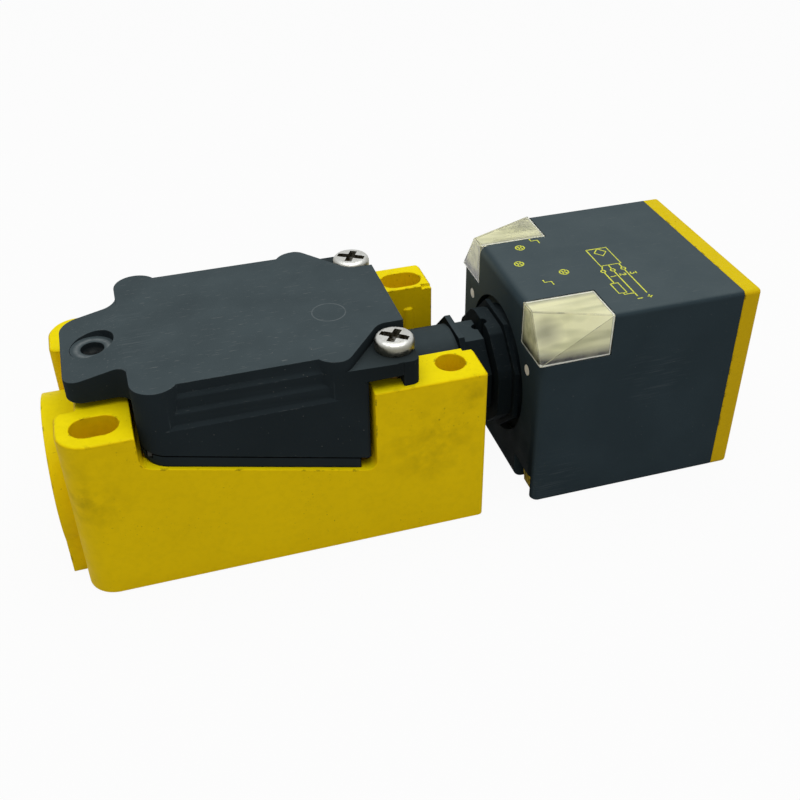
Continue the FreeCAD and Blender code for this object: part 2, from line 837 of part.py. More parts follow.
def collar_plate():
    """The thin eight-sided plate behind the collar, clamped against the floor of the head's dish."""
    boss_x = spacer_x + spacer_thickness
    plate = octagon(spacer_x, boss_x, spacer_flats)
    boss = bar(boss_x, dish_floor, spacer_boss_r)
    return joined([plate, boss]).cut(bar(spacer_x - past, dish_floor + past, collar_hub_r + seat_gap))


def stem_clip():
    """The spring ring on the stem behind the neck; the stem turns with it."""
    return ring(clip_x, clip_x + stem_clip_thickness, stem_clip_r, stem_r - stem_clip_groove + screw_gap)


def collar_screws():
    """Screws from inside the head into the collar."""
    screws = []
    length = pocket_x - collar_x - collar_screw_floor - seat_gap
    for y, z in collar_screw_places():
        screws.append(screw(V(pocket_x, y, z), V(1, 0, 0), collar_screw_head_r, collar_screw_head_h,
                            collar_screw_r, length))
    return Part.makeCompound(screws)


def lead_places():
    """Places of the leads inside the stem."""
    r = stem_bore_r - lead_r - slide_gap
    turns = [math.radians(45 + 360 * k / lead_count) for k in range(lead_count)]
    return [(r * math.cos(a), neck_axis_height + r * math.sin(a)) for a in turns]


def head_leads():
    """The insulated leads from the circuit board through the stem."""
    start = stem_start - lead_reach
    return Part.makeCompound([bar(start, board_x, lead_r, y, z) for y, z in lead_places()])


def lead_ferrules():
    """Crimped ends of the leads."""
    end = stem_start - lead_reach
    return Part.makeCompound([bar(end - ferrule_length, end, ferrule_r, y, z) for y, z in lead_places()])


def lens_facet(inset):
    """The slanted plane that cuts the outer corner of the far lens, as a thick wedge to cut with."""
    a = V(head_rear, head_half - lens_width + lens_facet_inset, head_high)
    b = V(head_rear + lens_length - lens_facet_margin, head_half, head_high)
    c = V(head_rear, head_half, head_high - lens_height + lens_facet_margin)
    middle = (a + b + c) * (1 / 3)
    out = (b - a).cross(c - a).normalize()
    if out.y < 0:
        out = out * -1
    corners = [middle + (p - middle) * lens_facet_spread - out * inset for p in (a, b, c)]
    return Part.Face(Part.makePolygon(corners + corners[:1])).extrude(out * lens_length)


def lens_block(inset, gap=0.0):
    """The block in the rear top corner of the head, on the far side, shrunk or grown."""
    return block(head_rear + inset, head_rear + lens_length + gap,
                 head_half - lens_width + inset - gap, head_half - inset,
                 head_high - lens_height + inset - gap, head_high - inset)


def corner_lens(far):
    """A clear corner lens: a hollow block with its outer corner cut by one slanted facet."""
    body = lens_block(0).cut(lens_facet(0))
    body = body.cut(lens_block(lens_wall).cut(lens_facet(lens_wall)))
    return body if far else body.mirror(V(0, 0, 0), V(0, 1, 0))


def rear_notch():
    """The notch in the lower rear corner of the head, on the far side."""
    return block(head_rear - past, head_rear + notch_depth, notch_inner_y, notch_outer_y,
                 head_low - past, head_low + notch_height)


def head_housing():
    """The square moulded housing of the sensing head, open at the front."""
    body = block(head_rear, head_front, -head_half, head_half, head_low, head_high)
    middle_x = (head_rear + head_front) / 2
    body = body.makeFillet(head_edge_round, edges_along(body, lambda m: near(m.x, middle_x)))
    body = body.makeFillet(head_rear_round, edges_along(body, lambda m: near(m.x, head_rear)))
    body = body.cut(section_block(pocket_x, head_front + past, head_wall))
    seat = block(head_rear - past, head_rear + lens_length + seat_gap,
                 head_half - lens_width - seat_gap, head_half + past,
                 head_high - lens_height - seat_gap, head_high + past)
    body = body.cut(both_sides(seat)).cut(both_sides(rear_notch()))
    body = body.cut(bar(head_rear - past, dish_floor, dish_r))
    body = body.cut(bar(head_rear, pocket_x + past, spigot_r))
    for y, z in collar_screw_places():
        body = body.cut(bar(head_rear, pocket_x + past, collar_screw_r + screw_gap, y, z))
    plug = bar(head_rear - past, head_rear + plug_length, plug_r + screw_gap, plug_y, head_high - plug_drop)
    return body.cut(both_sides(plug))


def light_guides():
    """Small clear blocks in the lower rear notches."""
    guide = block(head_rear + notch_depth / 2, head_rear + notch_depth,
                  notch_outer_y - guide_width, notch_outer_y,
                  head_low + notch_height - guide_height, head_low + notch_height)
    return Part.makeCompound(both_sides(guide))


def filler_plugs():
    """Pale plugs in the two filling holes of the rear face."""
    plug = bar(head_rear, head_rear + plug_length, plug_r, plug_y, head_high - plug_drop)
    return Part.makeCompound(both_sides(plug))


def section_block(x0, x1, inset):
    """A block across the head, set in from its outer faces."""
    half = head_half - inset
    return block(x0, x1, -half, half, head_low + inset, head_high - inset)


def active_face_cap():
    """The front cap of the head with a square spigot that fits the housing."""
    front = head_front + cap_thickness
    body = section_block(head_front, front, 0)
    body = body.makeFillet(head_edge_round, edges_along(body, lambda m: near(m.x, (head_front + front) / 2)))
    body = body.makeFillet(cap_edge_round, edges_along(body, lambda m: near(m.x, front)))
    spigot_x = head_front - cap_spigot
    spigot = section_block(spigot_x, head_front, head_wall + seat_gap)
    spigot = spigot.cut(section_block(spigot_x, head_front, head_wall + seat_gap + cap_wall))
    return body.fuse(spigot).removeSplitter()


def ferrite_core():
    """The pot core: a cup with a centre post, open to the sensing face."""
    end = core_x + core_length
    cup = ring(core_x, end, core_r, core_bore_r)
    return cup.cut(ring(end - core_groove_depth, end, core_r - core_rim, core_post_r))


def coil_former():
    """The bobbin in the groove of the pot core."""
    end = core_x + core_length
    start = end - core_groove_depth + seat_gap
    outer = core_r - core_rim - seat_gap
    inner = core_post_r + seat_gap
    body = ring(start, end, outer, inner)
    return body.cut(ring(start + former_wall, end - former_wall, outer, inner + former_wall))


def sensing_coil():
    """The copper winding on the bobbin."""
    end = core_x + core_length - former_wall
    start = core_x + core_length - core_groove_depth + seat_gap + former_wall
    outer = core_r - core_rim - 2 * seat_gap
    return ring(start, end, outer, core_post_r + seat_gap + former_wall)


def shield_ring():
    """The brass ring round the pot core that lets the head be mounted flush."""
    return ring(core_x, core_x + core_length, shield_r, core_r + seat_gap)


def circuit_board():
    """The square circuit board across the head, just before the lenses."""
    body = section_block(board_x, board_x + board_thickness, head_wall + slide_gap / 2)
    for y, z in lead_places():
        body = body.cut(bar(board_x - past, board_x + board_thickness + past, lead_r / 2, y, z))
    return body


def chip(width, height, y, z):
    """A square part on the front of the board."""
    x = board_x + board_thickness
    half = width / 2
    return block(x, x + height, y - half, y + half, z - half, z + half)


def board_parts():
    """The oscillator chip, the output chip and two rows of small parts on the front of the board."""
    parts = [chip(chip_width, chip_height, y, neck_axis_height) for y in (-chip_width, chip_width)]
    for k in range(part_columns):
        y = (k - (part_columns - 1) / 2) * 2 * part_width
        for z in (neck_axis_height - part_rows, neck_axis_height + part_rows):
            parts.append(chip(part_width, part_height, y, z))
    return Part.makeCompound(parts)


def indicator_lamps():
    """The two indicator lamps on the back of the board, each inside its corner lens."""
    y = head_half - lamp_inset
    z = head_high - lamp_inset
    lamp = block(board_x - lamp_thickness, board_x, y - lamp_width / 2, y + lamp_width / 2,
                 z - lamp_height / 2, z + lamp_height / 2)
    return Part.makeCompound(both_sides(lamp))


def resin_block():
    """The casting resin between the circuit board and the pot core."""
    start = board_x + board_thickness + resin_from_board
    return section_block(start, core_x - seat_gap, head_wall + slide_gap / 2)


pieces = {
    "mounting_base": mounting_base,
    "threaded_inserts": threaded_inserts,
    "terminal_plate": terminal_plate,
    "plate_screws": plate_screws,
    "cover_seal": cover_seal,
    "terminal_block": terminal_block,
    "terminal_clamps": terminal_clamps,
    "terminal_screws": terminal_screws,
    "terminal_cover": terminal_cover,
    "cover_screws": cover_screws,
    "neck_spigot": neck_spigot,
    "neck_o_ring": neck_o_ring,
    "neck_retainer": neck_retainer,
    "head_collar": head_collar,
    "collar_plate": collar_plate,
    "stem_clip": stem_clip,
    "collar_screws": collar_screws,
    "head_leads": head_leads,
    "lead_ferrules": lead_ferrules,
    "head_housing": head_housing,
    "light_guides": light_guides,
    "filler_plugs": filler_plugs,
    "corner_lens_near": lambda: corner_lens(False),
    "corner_lens_far": lambda: corner_lens(True),
    "indicator_lamps": indicator_lamps,
    "circuit_board": circuit_board,
    "board_parts": board_parts,
    "resin_block": resin_block,
    "shield_ring": shield_ring,
    "ferrite_core": ferrite_core,
    "coil_former": coil_former,
    "sensing_coil": sensing_coil,
    "active_face_cap": active_face_cap,
}

os.makedirs("parts", exist_ok=True)
for name, make in pieces.items():
    make().exportStep(f"parts/{name}.step")
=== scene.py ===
import json
import math

import bmesh
import bpy
from bpy.props import FloatProperty, FloatVectorProperty, PointerProperty
from mathutils import Matrix, Vector


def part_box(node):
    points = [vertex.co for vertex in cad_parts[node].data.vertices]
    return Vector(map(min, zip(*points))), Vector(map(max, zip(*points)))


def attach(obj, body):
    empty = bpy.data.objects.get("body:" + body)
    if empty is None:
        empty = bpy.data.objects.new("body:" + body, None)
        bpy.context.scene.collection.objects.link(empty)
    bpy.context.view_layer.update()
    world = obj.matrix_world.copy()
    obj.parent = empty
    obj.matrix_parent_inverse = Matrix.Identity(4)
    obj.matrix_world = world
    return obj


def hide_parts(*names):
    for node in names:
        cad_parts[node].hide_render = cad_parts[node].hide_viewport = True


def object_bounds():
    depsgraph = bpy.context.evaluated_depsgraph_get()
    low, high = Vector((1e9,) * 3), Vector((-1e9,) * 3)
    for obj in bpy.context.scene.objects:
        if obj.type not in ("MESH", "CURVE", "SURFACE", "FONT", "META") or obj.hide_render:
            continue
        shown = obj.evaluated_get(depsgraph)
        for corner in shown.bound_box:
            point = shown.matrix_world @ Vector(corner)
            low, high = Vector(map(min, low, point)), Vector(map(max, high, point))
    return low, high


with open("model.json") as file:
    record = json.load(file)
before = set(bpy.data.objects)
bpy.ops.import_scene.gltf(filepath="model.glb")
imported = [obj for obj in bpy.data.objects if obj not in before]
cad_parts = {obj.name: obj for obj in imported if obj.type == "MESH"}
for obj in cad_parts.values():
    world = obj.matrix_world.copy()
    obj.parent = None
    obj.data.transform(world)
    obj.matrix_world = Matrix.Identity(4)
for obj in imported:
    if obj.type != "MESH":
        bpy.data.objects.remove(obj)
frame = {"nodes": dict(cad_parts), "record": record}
cad_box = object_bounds()

bl_info = {
    "name": "Cuboid proximity sensor",
    "version": (1, 0, 0),
    "blender": (4, 5, 0),
    "location": "3D View > Sidebar > Sensor",
    "description": "Dresses the pieces of a cuboid proximity sensor and sets its studio",
    "category": "Object",
}

# Lengths are in millimetres, and are turned to metres where they are used
mm = 0.001

# Sockets of a Mix node for colours
SHARE = 0
UNDER = 6
OVER = 7
MIXED = 2

# CAD vertices this near are one, and CAD faces that turn by less, in degrees, are one face
weld = 0.001
flat_turn = 0.5

# Edges that turn by more, in degrees, are broken, and faces that turn by more are shaded apart
broken_turn = 30.0
shaded_turn = 35.0

# The same for the base and the cover, whose chamfers and steps are left as they are
base_turn = 50.0
cover_turn = 45.0

# Widths of broken edges: the base's as a share of the edge that a user sets, and those of their own
base_edge_share = 1.2
plate_edge = 0.24
fine_edge = 0.15
plug_edge = 0.1
cap_edge = 0.28

# The cable entry's thread: its start behind the entry's face, and its length
thread_start = 0.9
thread_length = 13.0

# Cover screws: heights and radii, and the rounding of the head as (in from its rim, down from its top)
head_height = 2.3
head_under = (0.1, 0.12)
head_dome = ((0.0, 0.85), (0.12, 0.5), (0.35, 0.24), (0.65, 0.1), (1.0, 0.04))
shank_radius = 1.5
tip_radius = 1.2
tip_height = 0.4
screw_sides = 64
screw_shaded_turn = 40.0

# Their recess, a slot and a deeper cross: reach by the head's radius, width by the slot's, depths in mm
slot_reach = 1.5
slot_depth = 0.7
cross_reach = 1.2
cross_width = 1.15
cross_depth = 1.25
recess_margin = 0.3
cutter_height = 2.0

# How far each screw was left turned, in degrees, the near one first
screw_turns = (-36.5, -30.0)

# Corner lenses: the clear wall round their cores, the gap at their seats, and the cores' creases
lens_wall = 0.3
lens_seat = 0.03
crease_turn = 20.0
crease_edge = 0.14

# How far the light guides reach back at their upper and lower edges, and down
guide_reach = (1.5, 1.2)
guide_drop = 0.8

# Thickness of the printed lines, half of it above the surface
print_thickness = 0.06

# Streaks are tilted out of the main planes, so that every face cuts across them, in radians
streak_tilt = (0.3, 0.2)

# Stage: the gap under the object, how white the paper is to the eye, and the light's place and aim
floor_gap = 0.02
paper_glow = 0.95
light_place = Vector((30.0, -30.0, 550.0)) * mm
light_aim = Vector((20.0, 0.0, 20.0)) * mm


def linear(code):
    """The linear colour of an sRGB hex value."""
    parts = [int(code[i:i + 2], 16) / 255 for i in (1, 3, 5)]
    return [c / 12.92 if c <= 0.04045 else ((c + 0.055) / 1.055) ** 2.4 for c in parts]


def opaque(colour):
    """A user's linear colour or an sRGB hex value, as a socket takes it."""
    return [*(linear(colour) if isinstance(colour, str) else colour), 1.0]


def fill(tree, made, inputs):
    """Give a node's inputs their values, or links to the outputs that feed them."""
    for key, value in inputs.items():
        if isinstance(value, bpy.types.NodeSocket):
            tree.links.new(value, made.inputs[key])
        else:
            made.inputs[key].default_value = value


def node(tree, kind, inputs=None, **settings):
    """Add one node with its settings, and fill its inputs."""
    made = tree.nodes.new(kind)
    for name, value in settings.items():
        setattr(made, name, value)
    fill(tree, made, inputs or {})
    return made


def bare_tree(owner):
    """The emptied node tree of a material or a world."""
    owner.use_nodes = True
    owner.node_tree.nodes.clear()
    return owner.node_tree


# Patterns that the finishes share

class Skin:
    """A material in the making, with the masks that its patterns are built from."""

    def __init__(self, name):
        self.made = bpy.data.materials.new(name)
        self.tree = bare_tree(self.made)
        self.shader = node(self.tree, "ShaderNodeBsdfPrincipled")
        node(self.tree, "ShaderNodeOutputMaterial", {"Surface": self.shader.outputs["BSDF"]})
        self.place = node(self.tree, "ShaderNodeTexCoord").outputs["Object"]

    def grain(self, size, low, high, amount=1.0, detail=2.0, least=0.0, place=None):
        """Noise in blobs about `size` mm wide: `least` below `low`, `amount` above `high`."""
        noise = node(self.tree, "ShaderNodeTexNoise", {
            "Vector": self.place if place is None else place, "Scale": 1 / (size * mm), "Detail": detail})
        return node(self.tree, "ShaderNodeMapRange", {
            "Value": noise.outputs["Fac"], "From Min": low, "From Max": high,
            "To Min": least, "To Max": amount}).outputs["Result"]

    def shared(self, *masks):
        """Where several masks hold at once."""
        whole = masks[0]
        for mask in masks[1:]:
            whole = node(self.tree, "ShaderNodeMath", {0: whole, 1: mask}, operation="MULTIPLY").outputs[0]
        return whole

    def facing(self, axis, low, high, amount=1.0):
        """Faces turned along an axis: nothing at `low` on that axis of their normal, `amount` at `high`."""
        normal = node(self.tree, "ShaderNodeTexCoord").outputs["Normal"]
        turned = node(self.tree, "ShaderNodeSeparateXYZ", {"Vector": normal}).outputs[axis]
        return node(self.tree, "ShaderNodeMapRange", {
            "Value": turned, "From Min": low, "From Max": high, "To Max": amount}).outputs["Result"]

    def beside(self, axis, plane, clear, full, amount=1.0):
        """Along a plane across an axis and its mirror image: nothing `clear` mm off it, all at `full`."""
        along = node(self.tree, "ShaderNodeSeparateXYZ", {"Vector": self.place}).outputs[axis]
        away = node(self.tree, "ShaderNodeMath", {0: along}, operation="ABSOLUTE").outputs[0]
        return node(self.tree, "ShaderNodeMapRange", {
            "Value": away, "From Min": (plane + clear) * mm, "From Max": (plane + full) * mm,
            "To Max": amount}).outputs["Result"]

    def around(self, centre, reach, amount=1.0, radius=0.0):
        """Round a point in mm: `amount` at `radius` mm from it, nothing `reach` mm nearer or farther."""
        away = node(self.tree, "ShaderNodeVectorMath", {0: self.place, 1: [c * mm for c in centre]},
                    operation="DISTANCE").outputs["Value"]
        off = node(self.tree, "ShaderNodeMath", {0: away, 1: radius * mm}, operation="SUBTRACT").outputs[0]
        off = node(self.tree, "ShaderNodeMath", {0: off}, operation="ABSOLUTE").outputs[0]
        return node(self.tree, "ShaderNodeMapRange", {
            "Value": off, "From Min": reach * mm, "From Max": 0.0, "To Max": amount}).outputs["Result"]

    def streaks(self, turn, width, length, low, high, amount=1.0):
        """Thin streaks, `width` by `length` mm, turned by degrees in the plane of the top."""
        turned = node(self.tree, "ShaderNodeMapping", {
            "Vector": self.place, "Rotation": (*streak_tilt, math.radians(turn)),
            "Scale": (width / length, 1, 1)}).outputs["Vector"]
        return self.grain(width, low, high, amount, detail=1.0, place=turned)

    def worn_edges(self, reach, size, low, high, amount):
        """Nicks along hard edges: where the normal rounded over `reach` mm leaves the true one."""
        rounded = node(self.tree, "ShaderNodeBevel", {"Radius": reach * mm}, samples=6).outputs["Normal"]
        true = node(self.tree, "ShaderNodeNewGeometry").outputs["Normal"]
        same = node(self.tree, "ShaderNodeVectorMath", {0: rounded, 1: true}, operation="DOT_PRODUCT")
        edge = node(self.tree, "ShaderNodeMapRange", {
            "Value": same.outputs["Value"], "From Min": 0.998, "From Max": 0.95}).outputs["Result"]
        return self.shared(edge, self.grain(size, low, high, amount))

    def layered(self, colour, layers):
        """Lay each (mask, colour) over the last, and give the colour that comes out."""
        colour = opaque(colour)
        for mask, over in layers:
            sockets = {SHARE: mask, UNDER: colour, OVER: opaque(over)}
            colour = node(self.tree, "ShaderNodeMix", sockets, data_type="RGBA").outputs[MIXED]
        return colour

    def relief(self, size, low, high, depth):
        """The normal of a surface with a grain `size` mm wide and `depth` mm deep."""
        height = {"Height": self.grain(size, low, high), "Distance": depth * mm}
        return node(self.tree, "ShaderNodeBump", height).outputs["Normal"]

    def finished(self, inputs):
        """Give the shader its inputs, and hand over the material."""
        fill(self.tree, self.shader, inputs)
        return self.made


# Finishes: the moulds' grain is finer than this relief, which is as coarse as it needs to show

def yellow_moulding(name, side, top, smudges=()):
    """Glass-filled polyamide from a satin mould: deep dull yellow with sooty nicks, and a painted paler lit
    colour on top.
    """
    skin = Skin(name)
    specks = skin.shared(skin.grain(0.45, 0.68, 0.76, amount=0.5, detail=1.0), skin.grain(9.0, 0.50, 0.64))
    layers = [
        # Painted light: faces turned up take the paler, more lemon colour of a lit top
        (skin.facing("Z", 0.45, 0.95), top),
        (skin.grain(14.0, 0.40, 0.75, amount=0.2), [c * 0.75 for c in side]),
        (skin.grain(1.1, 0.42, 0.72, amount=0.07, detail=3.0), "#8A6E04"),
        (specks, "#6A500A"),
    ]
    for centre, reach, amount in smudges:
        rubbed = skin.shared(skin.around(centre, reach, amount), skin.grain(2.4, 0.40, 0.76, detail=9.0))
        layers.append((rubbed, "#4A3A04"))
    nicks = skin.shared(skin.worn_edges(0.5, 1.4, 0.55, 0.62, 0.85), skin.grain(7.0, 0.36, 0.48))
    layers.append((nicks, "#33260A"))
    return skin.finished({
        "Base Color": skin.layered(side, layers), "IOR": 1.53, "Specular IOR Level": 0.03,
        "Roughness": skin.grain(3.0, 0.2, 0.8, amount=0.6, least=0.4),
        "Normal": skin.relief(0.35, 0.2, 0.8, depth=0.015),
    })


def dark_moulding(looks, name, tint, dust_and_sheen, wear, rings=(), scuffs=(), sunk_shade=(), rear_light_and_shade=()):
    """Black polyamide from a fine-grained mould: dull and near black, dusty grey on top with a painted
    sheen.

    `rings` are marks of the mould, `scuffs` are rubbed streaks, the third of these is painted shade
    on what is sunk below the top, and the last is painted light and shade on faces turned to the cable end.
    """
    skin = Skin(name)
    drift = skin.grain(8.0, 0.25, 0.7, detail=3.0, least=0.72)
    layers = [
        (skin.grain(11.0, 0.40, 0.75, amount=0.5), [c * 1.3 for c in tint]),
        # Faces turned up: dusty grey with a painted sheen of the light they catch
        (skin.shared(skin.facing("Z", 0.70, 0.97, dust_and_sheen), drift), looks.dust_and_sheen),
    ]
    upward = skin.facing("Z", 0.35, 0.92)
    for turn, length in ((25, 3.0), (-60, 2.0)):
        scratches = skin.streaks(turn, 0.14, length, 0.72, 0.78, 0.4 * wear)
        layers.append((skin.shared(upward, scratches), "#7A7C7A"))
    layers.append((skin.grain(0.35, 0.78, 0.81, amount=0.4 * wear, detail=1.0), "#8A8880"))
    layers.append((skin.worn_edges(0.3, 1.0, 0.52, 0.68, 0.2 * wear), "#6A6E6E"))
    for centre, radius, width, amount in rings:
        uneven = skin.grain(1.0, 0.3, 0.6, detail=3.0, least=0.3)
        layers.append((skin.shared(skin.around(centre, width, amount, radius), uneven), "#8A8F90"))
    for centre, reach, amount in scuffs:
        rubbed = skin.streaks(40, 0.3, 5.0, 0.52, 0.75)
        layers.append((skin.shared(skin.around(centre, reach, amount), rubbed), "#7C8284"))
    # Painted shade: near black on what is sunk below the top round each given place
    for centre, reach in sunk_shade:
        sunk = skin.beside("Z", centre[2], 1.0, 0.3)
        layers.append((skin.shared(skin.around(centre, reach), sunk), "#161A1A"))
    # Painted light and shade on faces turned to the cable end, round each given place in its colour
    for centre, reach, amount, code in rear_light_and_shade:
        rear = skin.facing("X", -0.6, -0.9)
        layers.append((skin.shared(rear, skin.around(centre, reach, amount)), code))
    return skin.finished({
        "Base Color": skin.layered(tint, layers), "IOR": 1.53, "Specular IOR Level": 0.015,
        "Roughness": skin.grain(5.0, 0.2, 0.8, amount=0.8, least=0.6),
        "Normal": skin.relief(0.25, 0.2, 0.8, depth=0.012),
    })


def nickel_steel():
    """Nickel-plated pressed steel: grey soft gloss, painted shade on its flanks, brown painted shade in the
    recess.
    """
    skin = Skin("steel_nickel_plated")
    recess = node(skin.tree, "ShaderNodeAttribute", attribute_name="recess").outputs["Fac"]
    # Painted shade in the recess: patchy dark brown, and no metal there
    recess_shade = skin.shared(recess, skin.grain(0.5, 0.30, 0.60, least=0.65))
    outside_recess = node(skin.tree, "ShaderNodeMath", {0: 1.0, 1: recess_shade}, operation="SUBTRACT").outputs[0]
    colour = skin.layered("#B9BAB6", [
        (skin.grain(1.4, 0.45, 0.75, amount=0.4), "#9C988A"),
        # Painted shade: faces turned away from the top darker
        (skin.facing("Z", 0.9, 0.2, 0.7), "#74725C"),
        (skin.grain(0.5, 0.64, 0.74, amount=0.5), "#7A7254"),
        (recess_shade, "#241F10"),
    ])
    return skin.finished({
        "Base Color": colour, "Metallic": outside_recess, "Specular IOR Level": 0.05,
        "Roughness": skin.grain(0.8, 0.2, 0.8, amount=0.5, least=0.25),
        "Normal": skin.relief(0.3, 0.3, 0.7, depth=0.012),
    })


def plain_finish(name, first, second, size, roughness, more=None):
    """A finish of two close tones in blobs `size` mm wide, with a slight relief, and `more` inputs."""
    skin = Skin(name)
    return skin.finished({
        "Base Color": skin.layered(first, [(skin.grain(size, 0.35, 0.7), second)]),
        "Roughness": roughness, "Normal": skin.relief(size / 3, 0.25, 0.75, depth=0.01), **(more or {}),
    })


def clear_moulding():
    """Clear polycarbonate, moulded thick: glossy, a little yellow, with faint flow marks."""
    skin = Skin("polycarbonate_clear_moulded")
    flow = skin.grain(2.5, 0.45, 0.75, amount=0.5)
    return skin.finished({
        "Base Color": skin.layered("#FBFAF2", [(flow, "#E8E6D6")]),
        "IOR": 1.58, "Transmission Weight": 1.0, "Roughness": skin.grain(1.6, 0.3, 0.8, amount=0.12),
        "Normal": skin.relief(1.2, 0.3, 0.7, depth=0.02),
    })


def frosted_core(looks):
    """Polycarbonate frosted to spread light: cream in grey bands, with painted shade along its seats and
    white painted highlights.
    """
    skin = Skin("polycarbonate_cream_frosted")
    low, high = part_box("corner_lens_far")
    seat_x, seat_y, seat_z = high.x / mm, low.y / mm, low.z / mm
    uneven = skin.grain(4.0, 0.30, 0.60, detail=3.0, least=0.6)
    layers = [
        (skin.streaks(8, 2.0, 14.0, 0.42, 0.70, 0.6), "#AEB084"),
        # Painted shade: grey patches on the near and the far core
        (skin.around((46.6, -17.2, 36.4), 3.4, 0.6), "#5E5E52"),
        (skin.around((56.0, 17.0, 39.4), 4.0, 0.6), "#6E7060"),
        # Painted shade along the seats: near black at the foot, grey at the other two
        (skin.shared(uneven, skin.beside("Z", seat_z, 2.6, 0.8)), "#15170F"),
        (skin.shared(uneven, skin.beside("Y", seat_y, 1.6, 0.4, 0.6)), "#66685A"),
        (skin.beside("X", seat_x, -0.42, -0.3, 0.7), "#55564A"),
    ]
    # Painted highlights: white rims along the seats
    for rim in (("X", seat_x, -0.3, -0.22), ("Y", seat_y, 0.45, 0.35), ("Z", seat_z, 0.36, 0.26)):
        layers.append((skin.beside(*rim), "#FAFCF6"))
    return skin.finished({
        "Base Color": skin.layered(looks.cream, layers), "Roughness": 0.55,
        "Specular IOR Level": 0.2, "Normal": skin.relief(0.6, 0.3, 0.7, depth=0.02),
    })


def print_ink(looks):
    """Pad-printed ink: thin, matt, a yellow-green that has worn unevenly."""
    skin = Skin("ink_pad_printed")
    worn = skin.grain(0.5, 0.45, 0.7, amount=0.45)
    return skin.finished({
        "Base Color": skin.layered(looks.ink, [(worn, "#7A7E2A")]), "Roughness": 0.6,
        "Normal": skin.relief(0.2, 0.3, 0.7, depth=0.005),
    })


# Mesh tools

def added(name, data):
    """Put data into the scene as an object."""
    made = bpy.data.objects.new(name, data)
    bpy.context.scene.collection.objects.link(made)
    return made


def piece(name, mesh, body, slot, *nodes):
    """Put a finished mesh into the scene, riding on a body and standing for those CAD pieces."""
    made = added(name, mesh)
    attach(made, body)
    if nodes:
        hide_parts(*nodes)
    return made


def evaluated(made):
    """The plain mesh that an object's modifiers make."""
    return bpy.data.meshes.new_from_object(made.evaluated_get(bpy.context.evaluated_depsgraph_get()))


def applied(made):
    """Turn an object's modifiers into its mesh."""
    mesh = evaluated(made)
    made.modifiers.clear()
    made.data = mesh
    return made


def flattened(made):
    """Shade a piece so that its flat faces look flat between broken edges."""
    made.modifiers.new("flat_faces", "WEIGHTED_NORMAL").keep_sharp = True
    return applied(made)


def join_flat(shell):
    """Join the faces of a shell that lie in one plane."""
    bmesh.ops.dissolve_limit(shell, angle_limit=math.radians(flat_turn), verts=shell.verts,
                             edges=shell.edges)


def clean_shell(name):
    """A CAD piece's mesh with its triangles joined into whole faces."""
    source = frame["nodes"][name].data
    shell = bmesh.new()
    corners = [shell.verts.new(v.co) for v in source.vertices]
    for face in source.polygons:
        shell.faces.new([corners[i] for i in face.vertices])
    bmesh.ops.remove_doubles(shell, verts=shell.verts, dist=weld * mm)
    join_flat(shell)
    return shell


def hard_edges(shell, turn=broken_turn):
    """The edges of a shell where its faces turn by more than that many degrees."""
    return [e for e in shell.edges if len(e.link_faces) == 2 and e.calc_face_angle(0) > math.radians(turn)]


def break_edges(shell, edges, width, segments=2, finish=-1):
    """Round off edges `width` mm wide, as a mould does, if need be in another of the finishes."""
    bmesh.ops.bevel(shell, geom=edges, offset=width * mm, offset_type="WIDTH", segments=segments,
                    profile=0.5, affect="EDGES", clamp_overlap=False, loop_slide=True, material=finish)


def plain_mesh(shell, name):
    """Turn a shell into a mesh."""
    mesh = bpy.data.meshes.new(name)
    shell.to_mesh(mesh)
    shell.free()
    return mesh


def smooth_mesh(shell, name, finishes, turn=shaded_turn):
    """Turn a shell into a mesh in those finishes, shaded apart at edges that turn by more."""
    for face in shell.faces:
        face.smooth = True
    mesh = plain_mesh(shell, name)
    for finish in finishes:
        mesh.materials.append(finish)
    mesh.set_sharp_from_angle(angle=math.radians(turn))
    return mesh


def dressed(name, source, body, slot, finish, edge, broken=broken_turn, shaded=shaded_turn, split=False,
            seam=None):
    """A CAD piece with broken edges and a finish, standing for the plain one.

    `split` cuts up its hollow faces first, and `seam` is another finish for its broken edges.
    """
    shell = clean_shell(source)
    if split:
        bmesh.ops.connect_verts_concave(shell, faces=shell.faces[:])
    break_edges(shell, hard_edges(shell, broken), edge, finish=1 if seam else -1)
    low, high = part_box(source)
    for vert in shell.verts:
        vert.co = [min(max(c, a), b) for c, a, b in zip(vert.co, low, high)]
    finishes = [finish, seam] if seam else [finish]
    return flattened(piece(name, smooth_mesh(shell, name, finishes, shaded), body, slot, source))


def cut_away(made, tool_mesh):
    """Cut a closed tool out of an object."""
    tool = added("tool", tool_mesh)
    cut = made.modifiers.new("cut", "BOOLEAN")
    cut.operation = "DIFFERENCE"
    cut.solver = "EXACT"
    cut.object = tool
    applied(made)
    bpy.data.objects.remove(tool)


# Geometry node trees

def open_tree(name, labels, kind="NodeSocketFloat"):
    """A new geometry tree with a geometry input and one more input for each label."""
    tree = bpy.data.node_groups.new(name, "GeometryNodeTree")
    tree.interface.new_socket("Geometry", in_out="INPUT", socket_type="NodeSocketGeometry")
    for label in labels:
        tree.interface.new_socket(label, in_out="INPUT", socket_type=kind)
    tree.interface.new_socket("Geometry", in_out="OUTPUT", socket_type="NodeSocketGeometry")
    return tree, node(tree, "NodeGroupInput").outputs


def close_tree(tree, geometry, finish):
    """End a tree with real geometry in one finish."""
    real = node(tree, "GeometryNodeRealizeInstances", {"Geometry": geometry}).outputs["Geometry"]
    finished = node(tree, "GeometryNodeSetMaterial", {"Geometry": real, "Material": finish})
    node(tree, "NodeGroupOutput", {"Geometry": finished.outputs["Geometry"]})


